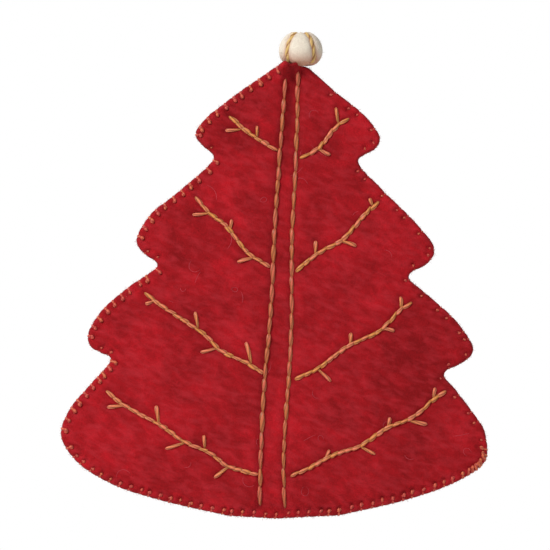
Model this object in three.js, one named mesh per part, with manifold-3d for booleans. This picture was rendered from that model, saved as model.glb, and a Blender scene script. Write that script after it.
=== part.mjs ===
// A hand-sewn felt tree ornament: two red felt plies over a thin wadding, an overcast edge, a gold
// embroidered trunk with eight branches, and a lobed felt ball that is tied to the tip.
// Millimetres, +Z up, +X to the viewer's right. The embroidered front faces -Y.
// The origin is the top of the ball on its axis, where the ornament hangs.
import * as THREE from "three";
import { mergeVertices } from "three/addons/utils/BufferGeometryUtils.js";
import Module from "manifold-3d";

const wasm = await Module();
wasm.setup();

// Air between pieces that touch on the real ornament
const CLEARANCE = 0.3;

// The felt plies and their filling
const FELT_THICKNESS = 1.5;
const SEAM_GAP = 0.3; // between the plies at the rim
const SEAM_ALLOWANCE = 1.6; // flat margin inside the rim
const FILL_LOFT = 2.4; // how far the filling lifts each ply
const CROWN_RUN = 6.0; // how softly a ply rises from its margin
const REST_FLAT_DEPTH = 0.5; // how much of the back's crown lies pressed flat
const CHANNEL_DEPTH = 0.6; // how far the trunk stitches draw the front in
const CHANNEL_HALF_WIDTH = 2.0;
const WADDING_INSET = 4.5; // from the rim to the filling's own edge
const WADDING_FILL = 0.75; // share of the room between the plies

// The embroidery thread
const THREAD_WIDTH = 1.2;
const THREAD_HEIGHT = 0.8;
const TWIG_WIDTH = 0.95;
const STITCH_LENGTH = 3.4;
const WAIST_SHARE = 0.62; // of the width, where one stitch slips beside the next
const POINT_SHARE = 0.4; // of the width, at the end of a line

// The overcast stitches round the rim
const EDGE_PITCH = 2.7;
const EDGE_BITE = 1.75; // from the rim to where the needle goes in
const EDGE_WIDTH = 0.9;
const EDGE_HEIGHT = 0.5;
const EDGE_RUN_HALF_WIDTH = 0.4;
const EDGE_BARE_START = 4.5; // the rim beside the ball has no stitches
const EDGE_BARE_END = 1.2; // from the last stitch to the middle of the hem

// The ball, its wrapping thread and the thread that ties it to the tip
const BALL_DIAMETER = 11.0;
const BALL_UNDRAWN_HEIGHT = 9.2; // before the thread draws it in
const LOBE_COUNT = 5;
const GROOVE_HALF_WIDTH = 1.0;
const THREAD_SINK = 0.4; // how far the wrapping thread lies below the lobes
const WRAP_DIAMETER = 0.8;
const WRAP_BEND = 0.8; // centre-line radius where the thread turns into the ball
const STRAND_GAP = 0.5; // between the strands inside the ball
const ANCHOR_DIAMETER = 0.8;
const TOP_KNOT_DIAMETER = 1.4;
const TIP_KNOT_DIAMETER = 1.6;
const TIP_KNOT_DEPTH = 2.4; // below the tip's top edge
const SEAT_GAP = 0.4; // between the ball and the tip
const ROCK_DEGREES = 8; // how far the ball leans to either side

// The rim as hand-cut, in [x, z] from the ball's axis and the tip's top edge.
// Each tier goes through slope, shoulder, lobe, underside and notch, and the last one to the hem.
const LEFT_RIM = [
  [-5.9, 0],
  [-16.0, -6.7], [-23.7, -12.7], [-26.5, -17.3], [-24.2, -20.7], [-22.0, -22.9],
  [-30.0, -30.7], [-37.5, -36.7], [-41.2, -43.7], [-38.4, -47.7], [-35.9, -49.8],
  [-44.0, -55.7], [-50.5, -61.7], [-53.5, -67.7], [-50.7, -71.7], [-47.7, -73.2],
  [-53.0, -79.7], [-58.0, -85.7], [-60.2, -92.2], [-56.7, -98.7],
  [-48.0, -104.7], [-36.7, -108.7], [-19.5, -112.7],
];
const RIGHT_RIM = [
  [3.3, 0],
  [8.8, -6.7], [16.1, -12.7], [19.6, -18.2], [17.3, -21.8], [14.3, -23.8],
  [20.1, -30.7], [28.1, -38.7], [33.3, -45.7], [31.6, -49.7], [27.0, -52.6],
  [32.3, -57.7], [38.8, -63.7], [43.1, -70.7], [40.1, -74.7], [35.8, -77.0],
  [39.3, -81.7], [43.8, -87.7], [46.6, -95.2], [44.5, -100.7],
  [37.8, -104.7], [26.3, -108.7], [8.6, -112.7],
];
const HEM_Z = -113.3;

// The two trunk lines, from the tip down
const LEFT_TRUNK = [[-3.8, -3.5], [-5.1, -20.0], [-6.7, -44.5], [-9.1, -79.0], [-10.3, -109.5]];
const RIGHT_TRUNK = [
  [-0.7, -1.8], [-1.1, -22.2], [-2.2, -43.0], [-2.2, -67.5], [-4.3, -96.7], [-4.2, -109.8],
];

// The branches: the height at which each leaves the trunk, its stem, and its twigs from root to end
const LEFT_BRANCHES = [
  {
    rootZ: -21.4,
    stem: [[-8.7, -19.7], [-14.2, -16.2], [-18.0, -12.4]],
    twigs: [[[-15.2, -15.2], [-18.8, -16.5]], [[-10.9, -18.3], [-10.8, -15.3]]],
  },
  {
    rootZ: -50.7,
    stem: [[-12.0, -48.2], [-17.7, -41.2], [-23.0, -37.0], [-26.3, -32.7]],
    twigs: [
      [[-12.0, -48.2], [-15.8, -49.2]],
      [[-17.7, -41.2], [-17.3, -38.6]],
      [[-23.0, -37.0], [-27.0, -37.5]],
    ],
  },
  {
    rootZ: -77.2,
    stem: [[-16.7, -73.0], [-22.5, -68.7], [-32.0, -62.0], [-39.0, -56.6]],
    twigs: [
      [[-12.7, -75.0], [-13.7, -69.2]],
      [[-20.9, -70.0], [-25.0, -71.7]],
      [[-25.7, -66.4], [-26.5, -61.7]],
      [[-36.6, -58.6], [-38.8, -59.8]],
    ],
  },
  {
    rootZ: -102.4,
    stem: [[-18.2, -100.4], [-24.4, -96.0], [-32.1, -92.0], [-44.0, -85.0], [-48.7, -81.2]],
    twigs: [
      [[-18.2, -100.4], [-21.6, -103.0]],
      [[-24.4, -96.0], [-24.2, -92.4]],
      [[-29.0, -93.7], [-33.8, -95.9]],
      [[-35.4, -90.1], [-36.1, -85.1]],
      [[-44.0, -85.0], [-48.4, -85.5]],
    ],
  },
];
const RIGHT_BRANCHES = [
  {
    rootZ: -23.2,
    stem: [[2.0, -22.4], [4.6, -21.0], [9.3, -14.7], [12.3, -13.4]],
    twigs: [[[4.6, -21.0], [7.3, -22.5]], [[9.3, -14.7], [8.8, -10.7]]],
  },
  {
    rootZ: -51.2,
    stem: [[3.5, -47.3], [9.9, -44.0], [14.2, -39.2], [19.8, -34.2]],
    twigs: [
      [[3.5, -47.3], [3.7, -44.0]],
      [[9.9, -44.0], [13.8, -45.2]],
      [[17.9, -35.9], [17.1, -33.2]],
    ],
  },
  {
    rootZ: -78.4,
    stem: [[4.1, -76.0], [12.5, -69.7], [20.5, -66.0], [25.0, -60.7], [28.0, -59.4]],
    twigs: [
      [[4.1, -76.0], [7.5, -79.0]],
      [[12.5, -69.7], [12.5, -66.9]],
      [[20.5, -66.0], [23.4, -66.5]],
      [[25.0, -60.7], [24.9, -57.9]],
    ],
  },
  {
    rootZ: -102.7,
    stem: [[6.3, -98.2], [15.1, -95.2], [21.5, -90.5], [26.8, -88.7], [33.3, -83.3], [36.6, -81.4]],
    twigs: [
      [[6.3, -98.2], [7.1, -95.8]],
      [[15.1, -95.2], [18.6, -97.2]],
      [[21.5, -90.5], [22.0, -87.7]],
      [[26.8, -88.7], [31.6, -89.8]],
      [[33.3, -83.3], [33.6, -80.4]],
    ],
  },
];

// How finely the surfaces are divided
const ROWS_PER_SPAN = 2; // between two points of the rim
const WING_COLUMNS = [0, 0.1, 0.35, 0.8, 1]; // from the rim (0) to the trunk line (1)
const WADDING_COLUMNS = [0, 0.45, 1];
const INSET_STEPS = 60;
const THREAD_SIDES = 4;
const WRAP_SIDES = 6;
const WRAP_OUTSIDE_STEPS = 14;
const WRAP_BEND_STEPS = 3;
const WRAP_BORE_STEPS = 4;
const BALL_RINGS = 12;
const SEGMENTS_PER_LOBE = 6;
const LATHE_SEGMENTS = 12;
const KNOT_STEPS = 4;

// Finishes
const FELT_RED = new THREE.MeshStandardMaterial({ color: 0xa81f28, roughness: 0.95, metalness: 0 });
const WADDING_WHITE = new THREE.MeshStandardMaterial({ color: 0xe9e4da, roughness: 1, metalness: 0 });
const GOLD_THREAD = new THREE.MeshStandardMaterial({ color: 0xcd8c50, roughness: 0.6, metalness: 0 });
const CREAM_FELT = new THREE.MeshStandardMaterial({ color: 0xebe1d2, roughness: 0.95, metalness: 0 });

const BACKWARD = new THREE.Vector3(0, 1, 0);
const UP = new THREE.Vector3(0, 0, 1);

// Geometry helpers

function geometryFrom(positions, triangles) {
  const geometry = new THREE.BufferGeometry();
  geometry.setAttribute("position", new THREE.Float32BufferAttribute(positions, 3));
  geometry.setIndex(triangles);
  return geometry;
}

function solidFrom(geometry) {
  const bare = geometry.clone();
  bare.deleteAttribute("normal");
  bare.deleteAttribute("uv");
  const merged = mergeVertices(bare);
  const mesh = new wasm.Mesh({
    numProp: 3,
    vertProperties: merged.attributes.position.array,
    triVerts: new Uint32Array(merged.index.array),
  });
  return new wasm.Manifold(mesh);
}

function geometryOf(solid) {
  const mesh = solid.getMesh();
  return geometryFrom(Array.from(mesh.vertProperties), Array.from(mesh.triVerts));
}

// A closed tube through stations that each have a centre, an across and an outward direction,
// a width and a height. Across, outward and the way along the tube are right-handed.
function sweptTube(stations, sides) {
  const positions = [];
  const triangles = [];
  for (const { centre, across, outward, width, height } of stations) {
    for (let side = 0; side < sides; side += 1) {
      const angle = (2 * Math.PI * side) / sides;
      const point = centre.clone();
      point.addScaledVector(across, (width / 2) * Math.cos(angle));
      point.addScaledVector(outward, (height / 2) * Math.sin(angle));
      positions.push(point.x, point.y, point.z);
    }
  }
  for (let ring = 0; ring + 1 < stations.length; ring += 1) {
    for (let side = 0; side < sides; side += 1) {
      const next = (side + 1) % sides;
      const a = ring * sides + side;
      const b = ring * sides + next;
      triangles.push(a, b, b + sides, a, b + sides, a + sides);
    }
  }
  const last = (stations.length - 1) * sides;
  for (let side = 1; side + 1 < sides; side += 1) {
    triangles.push(0, side + 1, side);
    triangles.push(last, last + side, last + side + 1);
  }
  return geometryFrom(positions, triangles);
}

// A solid of revolution about the Z axis from [radius, z] points
function turned(profile, segments) {
  const points = profile.map(([radius, z]) => new THREE.Vector2(radius, z));
  return new THREE.LatheGeometry(points, segments).rotateX(Math.PI / 2);
}

function pointsAlong(rim) {
  const curve = new THREE.CatmullRomCurve3(rim.map(([x, z]) => new THREE.Vector3(x, 0, z)));
  const spans = rim.length - 1;
  return curve.getPoints(spans * ROWS_PER_SPAN);
}

// The x of a line of [x, z] points at a height, held at its ends
function lineX(line, z) {
  if (z >= line[0][1]) return line[0][0];
  for (let i = 1; i < line.length; i += 1) {
    const [x0, z0] = line[i - 1];
    const [x1, z1] = line[i];
    if (z >= z1) return THREE.MathUtils.mapLinear(z, z0, z1, x0, x1);
  }
  return line.at(-1)[0];
}

function distanceToPath(x, z, path) {
  let least = Infinity;
  for (let i = 1; i < path.length; i += 1) {
    const from = path[i - 1];
    const dx = path[i].x - from.x;
    const dz = path[i].z - from.z;
    const along = ((x - from.x) * dx + (z - from.z) * dz) / (dx * dx + dz * dz);
    const share = THREE.MathUtils.clamp(along, 0, 1);
    least = Math.min(least, Math.hypot(x - from.x - share * dx, z - from.z - share * dz));
  }
  return least;
}

// Rows across the tree, from the tip to the hem: both rim points and both trunk points

const leftRim = pointsAlong(LEFT_RIM);
const rightRim = pointsAlong(RIGHT_RIM);
const rows = leftRim.map((left, i) => {
  const right = rightRim[i];
  const isHem = i === leftRim.length - 1;
  const z = isHem ? HEM_Z : (left.z + right.z) / 2;
  const leftTrunk = new THREE.Vector3(lineX(LEFT_TRUNK, z), 0, z);
  const rightTrunk = new THREE.Vector3(lineX(RIGHT_TRUNK, z), 0, z);
  return { left, leftTrunk, rightTrunk, right };
});
const hem = rows.at(-1);
const rimLoop = [...leftRim, hem.leftTrunk, hem.rightTrunk, ...rightRim.toReversed(), leftRim[0]];
const trunkPaths = [LEFT_TRUNK, RIGHT_TRUNK].map((line) => line.map(([x, z]) => ({ x, z })));

// How high the filling lifts a ply: nothing on the margin, then a soft rise to the full loft
function crown(x, z) {
  const inside = Math.max(0, distanceToPath(x, z, rimLoop) - SEAM_ALLOWANCE);
  return FILL_LOFT * (1 - Math.exp(-inside / CROWN_RUN));
}

// The front is drawn in along both trunk lines
function frontCrown(x, z) {
  const lift = crown(x, z);
  const nearest = Math.min(...trunkPaths.map((path) => distanceToPath(x, z, path)));
  const draw = CHANNEL_DEPTH * Math.exp(-((nearest / CHANNEL_HALF_WIDTH) ** 2));
  return lift - Math.min(draw, lift / 2);
}

// The back's crown lies flat on what it is laid on
function backCrown(x, z) {
  return Math.min(crown(x, z), FILL_LOFT - REST_FLAT_DEPTH);
}

// Points of one row, at shares of the way from each rim point to its trunk line
function rowPoints(row, leftShares, rightShares) {
  const leftWing = leftShares.map((share) => row.left.clone().lerp(row.leftTrunk, share));
  const rightWing = rightShares.map((share) => row.right.clone().lerp(row.rightTrunk, share));
  return [...leftWing, ...rightWing.toReversed()];
}

// A closed body between two surfaces over one grid of [row][column] points.
// Heights are measured from the middle plane towards the given side (-1 front, 1 back).
function layeredBody(grid, outerHeight, innerHeight, side) {
  const columns = grid[0].length;
  const flat = grid.flat();
  const positions = [];
  for (const point of flat) positions.push(point.x, side * outerHeight(point.x, point.z), point.z);
  for (const point of flat) positions.push(point.x, side * innerHeight(point.x, point.z), point.z);
  const triangles = [];
  const face = (a, b, c) => triangles.push(...(side < 0 ? [a, b, c] : [a, c, b]));
  const inner = flat.length;
  for (let row = 0; row + 1 < grid.length; row += 1) {
    for (let column = 0; column + 1 < columns; column += 1) {
      const a = row * columns + column;
      const below = a + columns;
      face(a, below, a + 1);
      face(a + 1, below, below + 1);
      face(inner + a, inner + a + 1, inner + below);
      face(inner + a + 1, inner + below + 1, inner + below);
    }
  }
  const border = [];
  const lastRow = (grid.length - 1) * columns;
  for (let column = 0; column < columns; column += 1) border.push(column);
  for (let row = 1; row < grid.length; row += 1) border.push(row * columns + columns - 1);
  for (let column = columns - 2; column >= 0; column -= 1) border.push(lastRow + column);
  for (let row = grid.length - 2; row > 0; row -= 1) border.push(row * columns);
  border.forEach((a, i) => {
    const b = border[(i + 1) % border.length];
    face(a, b, inner + b);
    face(a, inner + b, inner + a);
  });
  return geometryFrom(positions, triangles);
}

// The pocket in the tip that the tying thread rocks in, wider towards the top
function tipPocket() {
  const rock = THREE.MathUtils.degToRad(ROCK_DEGREES);
  const knotRoom = TIP_KNOT_DIAMETER / 2 + CLEARANCE;
  const neckRoom = ANCHOR_DIAMETER / 2 + CLEARANCE;
  const mouthZ = SEAT_GAP;
  const mouthRoom = neckRoom + (TIP_KNOT_DEPTH + mouthZ) * Math.tan(rock);
  const profile = [];
  for (let step = 0; step <= KNOT_STEPS; step += 1) {
    const angle = -Math.PI / 2 + (step * Math.PI) / 2 / KNOT_STEPS;
    profile.push([knotRoom * Math.cos(angle), -TIP_KNOT_DEPTH + knotRoom * Math.sin(angle)]);
  }
  profile[0][0] = 0;
  profile.push([mouthRoom, mouthZ], [0, mouthZ]);
  return solidFrom(turned(profile, LATHE_SEGMENTS));
}

function feltPly(crownOf, side) {
  const grid = rows.map((row) => rowPoints(row, WING_COLUMNS, WING_COLUMNS));
  const inner = (x, z) => SEAM_GAP / 2 + crownOf(x, z);
  const outer = (x, z) => inner(x, z) + FELT_THICKNESS;
  const ply = solidFrom(layeredBody(grid, outer, inner, side));
  return geometryOf(ply.subtract(tipPocket()));
}

// The share of the way in from the rim at which a row is clear of it by the filling's inset
function insetShare(rimPoint, trunkPoint) {
  for (let step = 0; step <= INSET_STEPS; step += 1) {
    const share = step / INSET_STEPS;
    const point = rimPoint.clone().lerp(trunkPoint, share);
    if (distanceToPath(point.x, point.z, rimLoop) >= WADDING_INSET) return share;
  }
  return null;
}

function wadding() {
  const grid = [];
  for (const row of rows) {
    const left = insetShare(row.left, row.leftTrunk);
    const right = insetShare(row.right, row.rightTrunk);
    if (left === null || right === null) continue;
    const leftShares = WADDING_COLUMNS.map((share) => THREE.MathUtils.lerp(left, 1, share));
    const rightShares = WADDING_COLUMNS.map((share) => THREE.MathUtils.lerp(right, 1, share));
    grid.push(rowPoints(row, leftShares, rightShares));
  }
  const front = (x, z) => WADDING_FILL * frontCrown(x, z);
  const back = (x, z) => -WADDING_FILL * backCrown(x, z);
  return layeredBody(grid, front, back, -1);
}

// Stitches

const frontPly = new THREE.Mesh(feltPly(frontCrown, -1), FELT_RED);
const backPly = new THREE.Mesh(feltPly(backCrown, 1), FELT_RED);
const raycaster = new THREE.Raycaster();
const FAR_OFF = 100;

// How far a ply's outer face stands from the middle plane at a point
function plyHeight(ply, side, x, z) {
  const inward = BACKWARD.clone().multiplyScalar(-side);
  raycaster.set(new THREE.Vector3(x, side * FAR_OFF, z), inward);
  const hit = raycaster.intersectObject(ply)[0];
  return side * hit.point.y;
}

// A thread that lies on the front along [x, z] points, as wide as widthAt says at each step
function threadOnFront(points, steps, widthAt) {
  const curve = new THREE.CatmullRomCurve3(points.map(([x, z]) => new THREE.Vector3(x, 0, z)));
  const outward = BACKWARD.clone().negate();
  const stations = [];
  for (let step = 0; step <= steps; step += 1) {
    const centre = curve.getPointAt(step / steps);
    const along = curve.getTangentAt(step / steps);
    const across = new THREE.Vector3().crossVectors(outward, along).normalize();
    const width = widthAt(step);
    const heights = [-1, 0, 1].map((edge) => {
      const probe = centre.clone().addScaledVector(across, (edge * width) / 2);
      return plyHeight(frontPly, -1, probe.x, probe.z);
    });
    centre.y = -(Math.max(...heights) + CLEARANCE + THREAD_HEIGHT / 2);
    stations.push({ centre, across, outward, width, height: THREAD_HEIGHT });
  }
  return sweptTube(stations, THREAD_SIDES);
}

// A line of stem stitches: full width in the middle of each, a waist where two lie side by side
function stemLine(points) {
  const length = points.slice(1).reduce((sum, [x, z], i) => {
    const [x0, z0] = points[i];
    return sum + Math.hypot(x - x0, z - z0);
  }, 0);
  const stitches = Math.max(2, Math.round(length / STITCH_LENGTH));
  const steps = stitches * 2;
  return threadOnFront(points, steps, (step) => {
    if (step === 0 || step === steps) return THREAD_WIDTH * POINT_SHARE;
    return step % 2 ? THREAD_WIDTH : THREAD_WIDTH * WAIST_SHARE;
  });
}

function twig(points) {
  return threadOnFront(points, 2, (step) => (step < 2 ? TWIG_WIDTH : TWIG_WIDTH * POINT_SHARE));
}

// A branch starts clear of its trunk line and carries its twigs
function branch({ rootZ, stem, twigs }, trunk, side) {
  const rootX = lineX(trunk, rootZ) + side * (THREAD_WIDTH + CLEARANCE);
  let solid = solidFrom(stemLine([[rootX, rootZ], ...stem]));
  for (const points of twigs) solid = solid.add(solidFrom(twig(points)));
  return geometryOf(solid);
}

// Overcast stitches along one side of the rim (-1 left, 1 right). Each is a bar with a three-cornered
// section that goes from its bite on one ply, over the rim, to its bite on the other, and the thread
// passes from bar to bar along the seam.
function edgeStitches(rim, side) {
  const middle = hem.leftTrunk.clone().lerp(hem.rightTrunk, 0.5);
  const path = new THREE.CurvePath();
  const stops = [...rim, side < 0 ? hem.leftTrunk : hem.rightTrunk, middle];
  for (let i = 1; i < stops.length; i += 1) path.add(new THREE.LineCurve3(stops[i - 1], stops[i]));
  const length = path.getLength();
  const count = Math.floor((length - EDGE_BARE_START - EDGE_BARE_END) / EDGE_PITCH) + 1;
  const rimHeight = SEAM_GAP / 2 + FELT_THICKNESS + CLEARANCE;
  const positions = [];
  const triangles = [];
  const stationCount = 6;
  const ringSize = 3;
  const barSize = stationCount * ringSize;
  const runStation = 2;

  for (let bar = 0; bar < count; bar += 1) {
    const distance = EDGE_BARE_START + bar * EDGE_PITCH;
    const centre = path.getPointAt(distance / length);
    const before = path.getPointAt((distance - EDGE_WIDTH / 2) / length);
    const after = path.getPointAt((distance + EDGE_WIDTH / 2) / length);
    const along = after.sub(before).normalize();
    const out = new THREE.Vector3(-along.z, 0, along.x).multiplyScalar(side);
    const bite = centre.clone().addScaledVector(out, -EDGE_BITE);
    const biteHeight = (facing) => {
      const ply = facing < 0 ? frontPly : backPly;
      return Math.max(rimHeight, plyHeight(ply, facing, bite.x, bite.z) + CLEARANCE);
    };
    const stations = [
      { out: -EDGE_BITE, y: side * biteHeight(side), lean: [0, side] },
      { out: CLEARANCE, y: side * rimHeight, lean: [1, side] },
      { out: CLEARANCE, y: side * EDGE_RUN_HALF_WIDTH, lean: [1, 0] },
      { out: CLEARANCE, y: -side * EDGE_RUN_HALF_WIDTH, lean: [1, 0] },
      { out: CLEARANCE, y: -side * rimHeight, lean: [1, -side] },
      { out: -EDGE_BITE, y: -side * biteHeight(-side), lean: [0, -side] },
    ];
    for (const station of stations) {
      const base = centre.clone().addScaledVector(out, station.out);
      base.addScaledVector(BACKWARD, station.y);
      const ahead = base.clone().addScaledVector(along, EDGE_WIDTH / 2);
      const top = base.clone().addScaledVector(out, EDGE_HEIGHT * station.lean[0]);
      top.addScaledVector(BACKWARD, EDGE_HEIGHT * station.lean[1]);
      const behind = base.clone().addScaledVector(along, -EDGE_WIDTH / 2);
      for (const corner of [ahead, top, behind]) positions.push(corner.x, corner.y, corner.z);
    }

    const first = bar * barSize;
    const quad = (a, b, c, d) => triangles.push(a, b, c, a, c, d);
    for (let station = 0; station + 1 < stationCount; station += 1) {
      const ring = first + station * ringSize;
      const next = ring + ringSize;
      const joinsAhead = station === runStation && bar + 1 < count;
      const joinsBehind = station === runStation && bar > 0;
      if (!joinsAhead) quad(ring, ring + 1, next + 1, next);
      if (!joinsBehind) quad(ring + 1, ring + 2, next + 2, next + 1);
      quad(ring + 2, ring, next, next + 2);
    }
    const final = first + barSize - ringSize;
    triangles.push(first, first + 2, first + 1, final, final + 1, final + 2);
    if (bar + 1 < count) {
      const ring = first + runStation * ringSize;
      const next = ring + ringSize;
      const own = [ring, ring + 1, next + 1, next];
      const other = [ring + 2, ring + 1, next + 1, next + 2].map((index) => index + barSize);
      own.forEach((a, i) => {
        const j = (i + 1) % own.length;
        quad(a, own[j], other[j], other[i]);
      });
    }
  }
  return geometryFrom(positions, triangles);
}

// The ball

const ballRadius = BALL_DIAMETER / 2;
const ballHalfHeight = BALL_UNDRAWN_HEIGHT / 2;
const wrapRadius = WRAP_DIAMETER / 2;
const wrapSink = wrapRadius + THREAD_SINK;
const grooveDepth = WRAP_DIAMETER + THREAD_SINK + CLEARANCE;
const lobeAngle = (2 * Math.PI) / LOBE_COUNT;
const firstGroove = -Math.PI / 2 + lobeAngle / 2; // a whole lobe faces the viewer
const strandCircle = Math.max(
  ANCHOR_DIAMETER / 2 + CLEARANCE + wrapRadius,
  (WRAP_DIAMETER + STRAND_GAP) / (2 * Math.sin(lobeAngle / 2)),
);
const boreRadius = strandCircle + wrapRadius + CLEARANCE;
const bendCentre = strandCircle + WRAP_BEND;
const wrapAcross = ballRadius - wrapSink;
const wrapTall = ballHalfHeight - wrapSink;
const wrapEnd = Math.acos(bendCentre / wrapAcross); // where the outside of a loop meets its bends
const wrapBendZ = wrapTall * Math.sin(wrapEnd) - WRAP_BEND;

// An egg-round body with a bore, drawn in along the wrapping thread: a point sinks along its normal by
// the groove's depth times a bell curve of its distance, round the ball, from the nearest thread
function feltBall() {
  const profile = [];
  const mouth = Math.acos(boreRadius / ballRadius);
  for (let ring = 0; ring <= BALL_RINGS; ring += 1) {
    const angle = THREE.MathUtils.lerp(-mouth, mouth, ring / BALL_RINGS);
    profile.push([ballRadius * Math.cos(angle), ballHalfHeight * Math.sin(angle)]);
  }
  const outside = profile.length;
  profile.push([boreRadius, 0], profile[0]);
  const ball = turned(profile, LOBE_COUNT * SEGMENTS_PER_LOBE);
  const position = ball.attributes.position;
  for (let i = 0; i < position.count; i += 1) {
    const column = i % profile.length;
    if (column === outside) continue;
    const x = position.getX(i);
    const y = position.getY(i);
    const z = position.getZ(i);
    const round = Math.hypot(x, y);
    const turns = (Math.atan2(y, x) - firstGroove) / lobeAngle;
    const arc = round * lobeAngle * Math.abs(turns - Math.round(turns));
    const sink = grooveDepth * Math.exp(-((arc / GROOVE_HALF_WIDTH) ** 2));
    const normal = new THREE.Vector2(round / ballRadius ** 2, z / ballHalfHeight ** 2).normalize();
    const sunk = (round - sink * normal.x) / round;
    const isLip = column === 0 || column === outside - 1 || column === profile.length - 1;
    const share = isLip ? 1 : sunk;
    position.setXYZ(i, x * share, y * share, z - sink * normal.y);
  }
  ball.computeBoundingBox();
  return ball;
}

// One loop of the wrapping thread in its own half-plane, as [radius, z, share of the turn to the next
// loop]: up the outside, over a bend, down inside the ball and round the lower bend
function wrapLoop() {
  const loop = [];
  for (let step = 0; step < WRAP_OUTSIDE_STEPS; step += 1) {
    const angle = THREE.MathUtils.lerp(-wrapEnd, wrapEnd, step / WRAP_OUTSIDE_STEPS);
    loop.push([wrapAcross * Math.cos(angle), wrapTall * Math.sin(angle), 0]);
  }
  for (let step = 0; step < WRAP_BEND_STEPS; step += 1) {
    const angle = (step * Math.PI) / 2 / WRAP_BEND_STEPS;
    loop.push([bendCentre - WRAP_BEND * Math.sin(angle), wrapBendZ + WRAP_BEND * Math.cos(angle), 0]);
  }
  for (let step = 0; step < WRAP_BORE_STEPS; step += 1) {
    const share = step / WRAP_BORE_STEPS;
    loop.push([strandCircle, THREE.MathUtils.lerp(wrapBendZ, -wrapBendZ, share), share]);
  }
  for (let step = 0; step < WRAP_BEND_STEPS; step += 1) {
    const angle = (step * Math.PI) / 2 / WRAP_BEND_STEPS;
    loop.push([bendCentre - WRAP_BEND * Math.cos(angle), -wrapBendZ - WRAP_BEND * Math.sin(angle), 1]);
  }
  return loop;
}

// The wrapping thread: one unbroken winding of as many loops as the ball has lobes
function ballWrap() {
  const loop = wrapLoop();
  const places = [];
  for (let turn = 0; turn < LOBE_COUNT; turn += 1) {
    for (const [radius, z, share] of loop) {
      places.push({ radius, z, angle: firstGroove + (turn + share) * lobeAngle });
    }
  }
  const unfinished = WRAP_BEND_STEPS + WRAP_BORE_STEPS / 2;
  places.splice(places.length - unfinished);
  const centres = places.map(({ radius, z, angle }) => {
    return new THREE.Vector3(radius * Math.cos(angle), radius * Math.sin(angle), z);
  });
  const stations = centres.map((centre, i) => {
    const along = centres[Math.min(i + 1, centres.length - 1)].clone();
    along.sub(centres[Math.max(i - 1, 0)]).normalize();
    const { angle } = places[i];
    const round = new THREE.Vector3(-Math.sin(angle), Math.cos(angle), 0);
    const outward = new THREE.Vector3().crossVectors(along, round).normalize();
    const across = new THREE.Vector3().crossVectors(outward, along).normalize();
    return { centre, across, outward, width: WRAP_DIAMETER, height: WRAP_DIAMETER };
  });
  let least = Infinity;
  const apart = loop.length / 2;
  for (let i = 0; i < centres.length; i += 1) {
    for (let j = i + apart; j < centres.length; j += 1) {
      least = Math.min(least, centres[i].distanceTo(centres[j]) - WRAP_DIAMETER);
    }
  }
  console.log(`ball_wrap_thread: least gap to itself ${least.toFixed(2)} mm`);
  return sweptTube(stations, WRAP_SIDES);
}

// The thread that ties the ball to the tip, with a knot in the tip and one on top of the ball
function anchorThread() {
  const radius = ANCHOR_DIAMETER / 2;
  const topKnot = TOP_KNOT_DIAMETER / 2;
  const tipKnot = TIP_KNOT_DIAMETER / 2;
  const reach = topKnot + CLEARANCE + wrapRadius + WRAP_BEND;
  const rise = Math.sqrt(Math.max(0, reach ** 2 - bendCentre ** 2));
  const topZ = wrapBendZ + rise;
  const tipZ = tipTopZ - TIP_KNOT_DEPTH;
  const profile = [[0, tipZ - tipKnot]];
  const tipNeck = Math.acos(radius / tipKnot);
  for (let step = 1; step <= KNOT_STEPS; step += 1) {
    const angle = THREE.MathUtils.lerp(-Math.PI / 2, tipNeck, step / KNOT_STEPS);
    profile.push([tipKnot * Math.cos(angle), tipZ + tipKnot * Math.sin(angle)]);
  }
  const topNeck = Math.acos(radius / topKnot);
  for (let step = 0; step < KNOT_STEPS; step += 1) {
    const angle = THREE.MathUtils.lerp(-topNeck, Math.PI / 2, step / KNOT_STEPS);
    profile.push([topKnot * Math.cos(angle), topZ + topKnot * Math.sin(angle)]);
  }
  profile.push([0, topZ + topKnot]);
  return turned(profile, LATHE_SEGMENTS);
}

// The assembly

const ball = feltBall();
const tipTopZ = ball.boundingBox.min.z - SEAT_GAP;

function named(name, mesh) {
  mesh.name = name;
  return mesh;
}

const tree = new THREE.Group();
tree.position.copy(UP).multiplyScalar(tipTopZ);
tree.add(named("front_felt", frontPly));
tree.add(named("back_felt", backPly));
tree.add(named("wadding", new THREE.Mesh(wadding(), WADDING_WHITE)));
tree.add(named("edge_stitch_left", new THREE.Mesh(edgeStitches(leftRim, -1), GOLD_THREAD)));
tree.add(named("edge_stitch_right", new THREE.Mesh(edgeStitches(rightRim, 1), GOLD_THREAD)));
tree.add(named("trunk_stitch_left", new THREE.Mesh(stemLine(LEFT_TRUNK), GOLD_THREAD)));
tree.add(named("trunk_stitch_right", new THREE.Mesh(stemLine(RIGHT_TRUNK), GOLD_THREAD)));
LEFT_BRANCHES.forEach((shape, i) => {
  tree.add(named(`branch_left_${i + 1}`, new THREE.Mesh(branch(shape, LEFT_TRUNK, -1), GOLD_THREAD)));
});
RIGHT_BRANCHES.forEach((shape, i) => {
  tree.add(named(`branch_right_${i + 1}`, new THREE.Mesh(branch(shape, RIGHT_TRUNK, 1), GOLD_THREAD)));
});

const ornament = new THREE.Group();
ornament.position.copy(UP).multiplyScalar(-ball.boundingBox.max.z);
ornament.add(tree);
ornament.add(named("felt_ball", new THREE.Mesh(ball, CREAM_FELT)));
ornament.add(named("ball_wrap_thread", new THREE.Mesh(ballWrap(), GOLD_THREAD)));
ornament.add(named("anchor_thread", new THREE.Mesh(anchorThread(), GOLD_THREAD)));

const hung = new THREE.Group();
hung.add(ornament);
export default hung;
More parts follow.
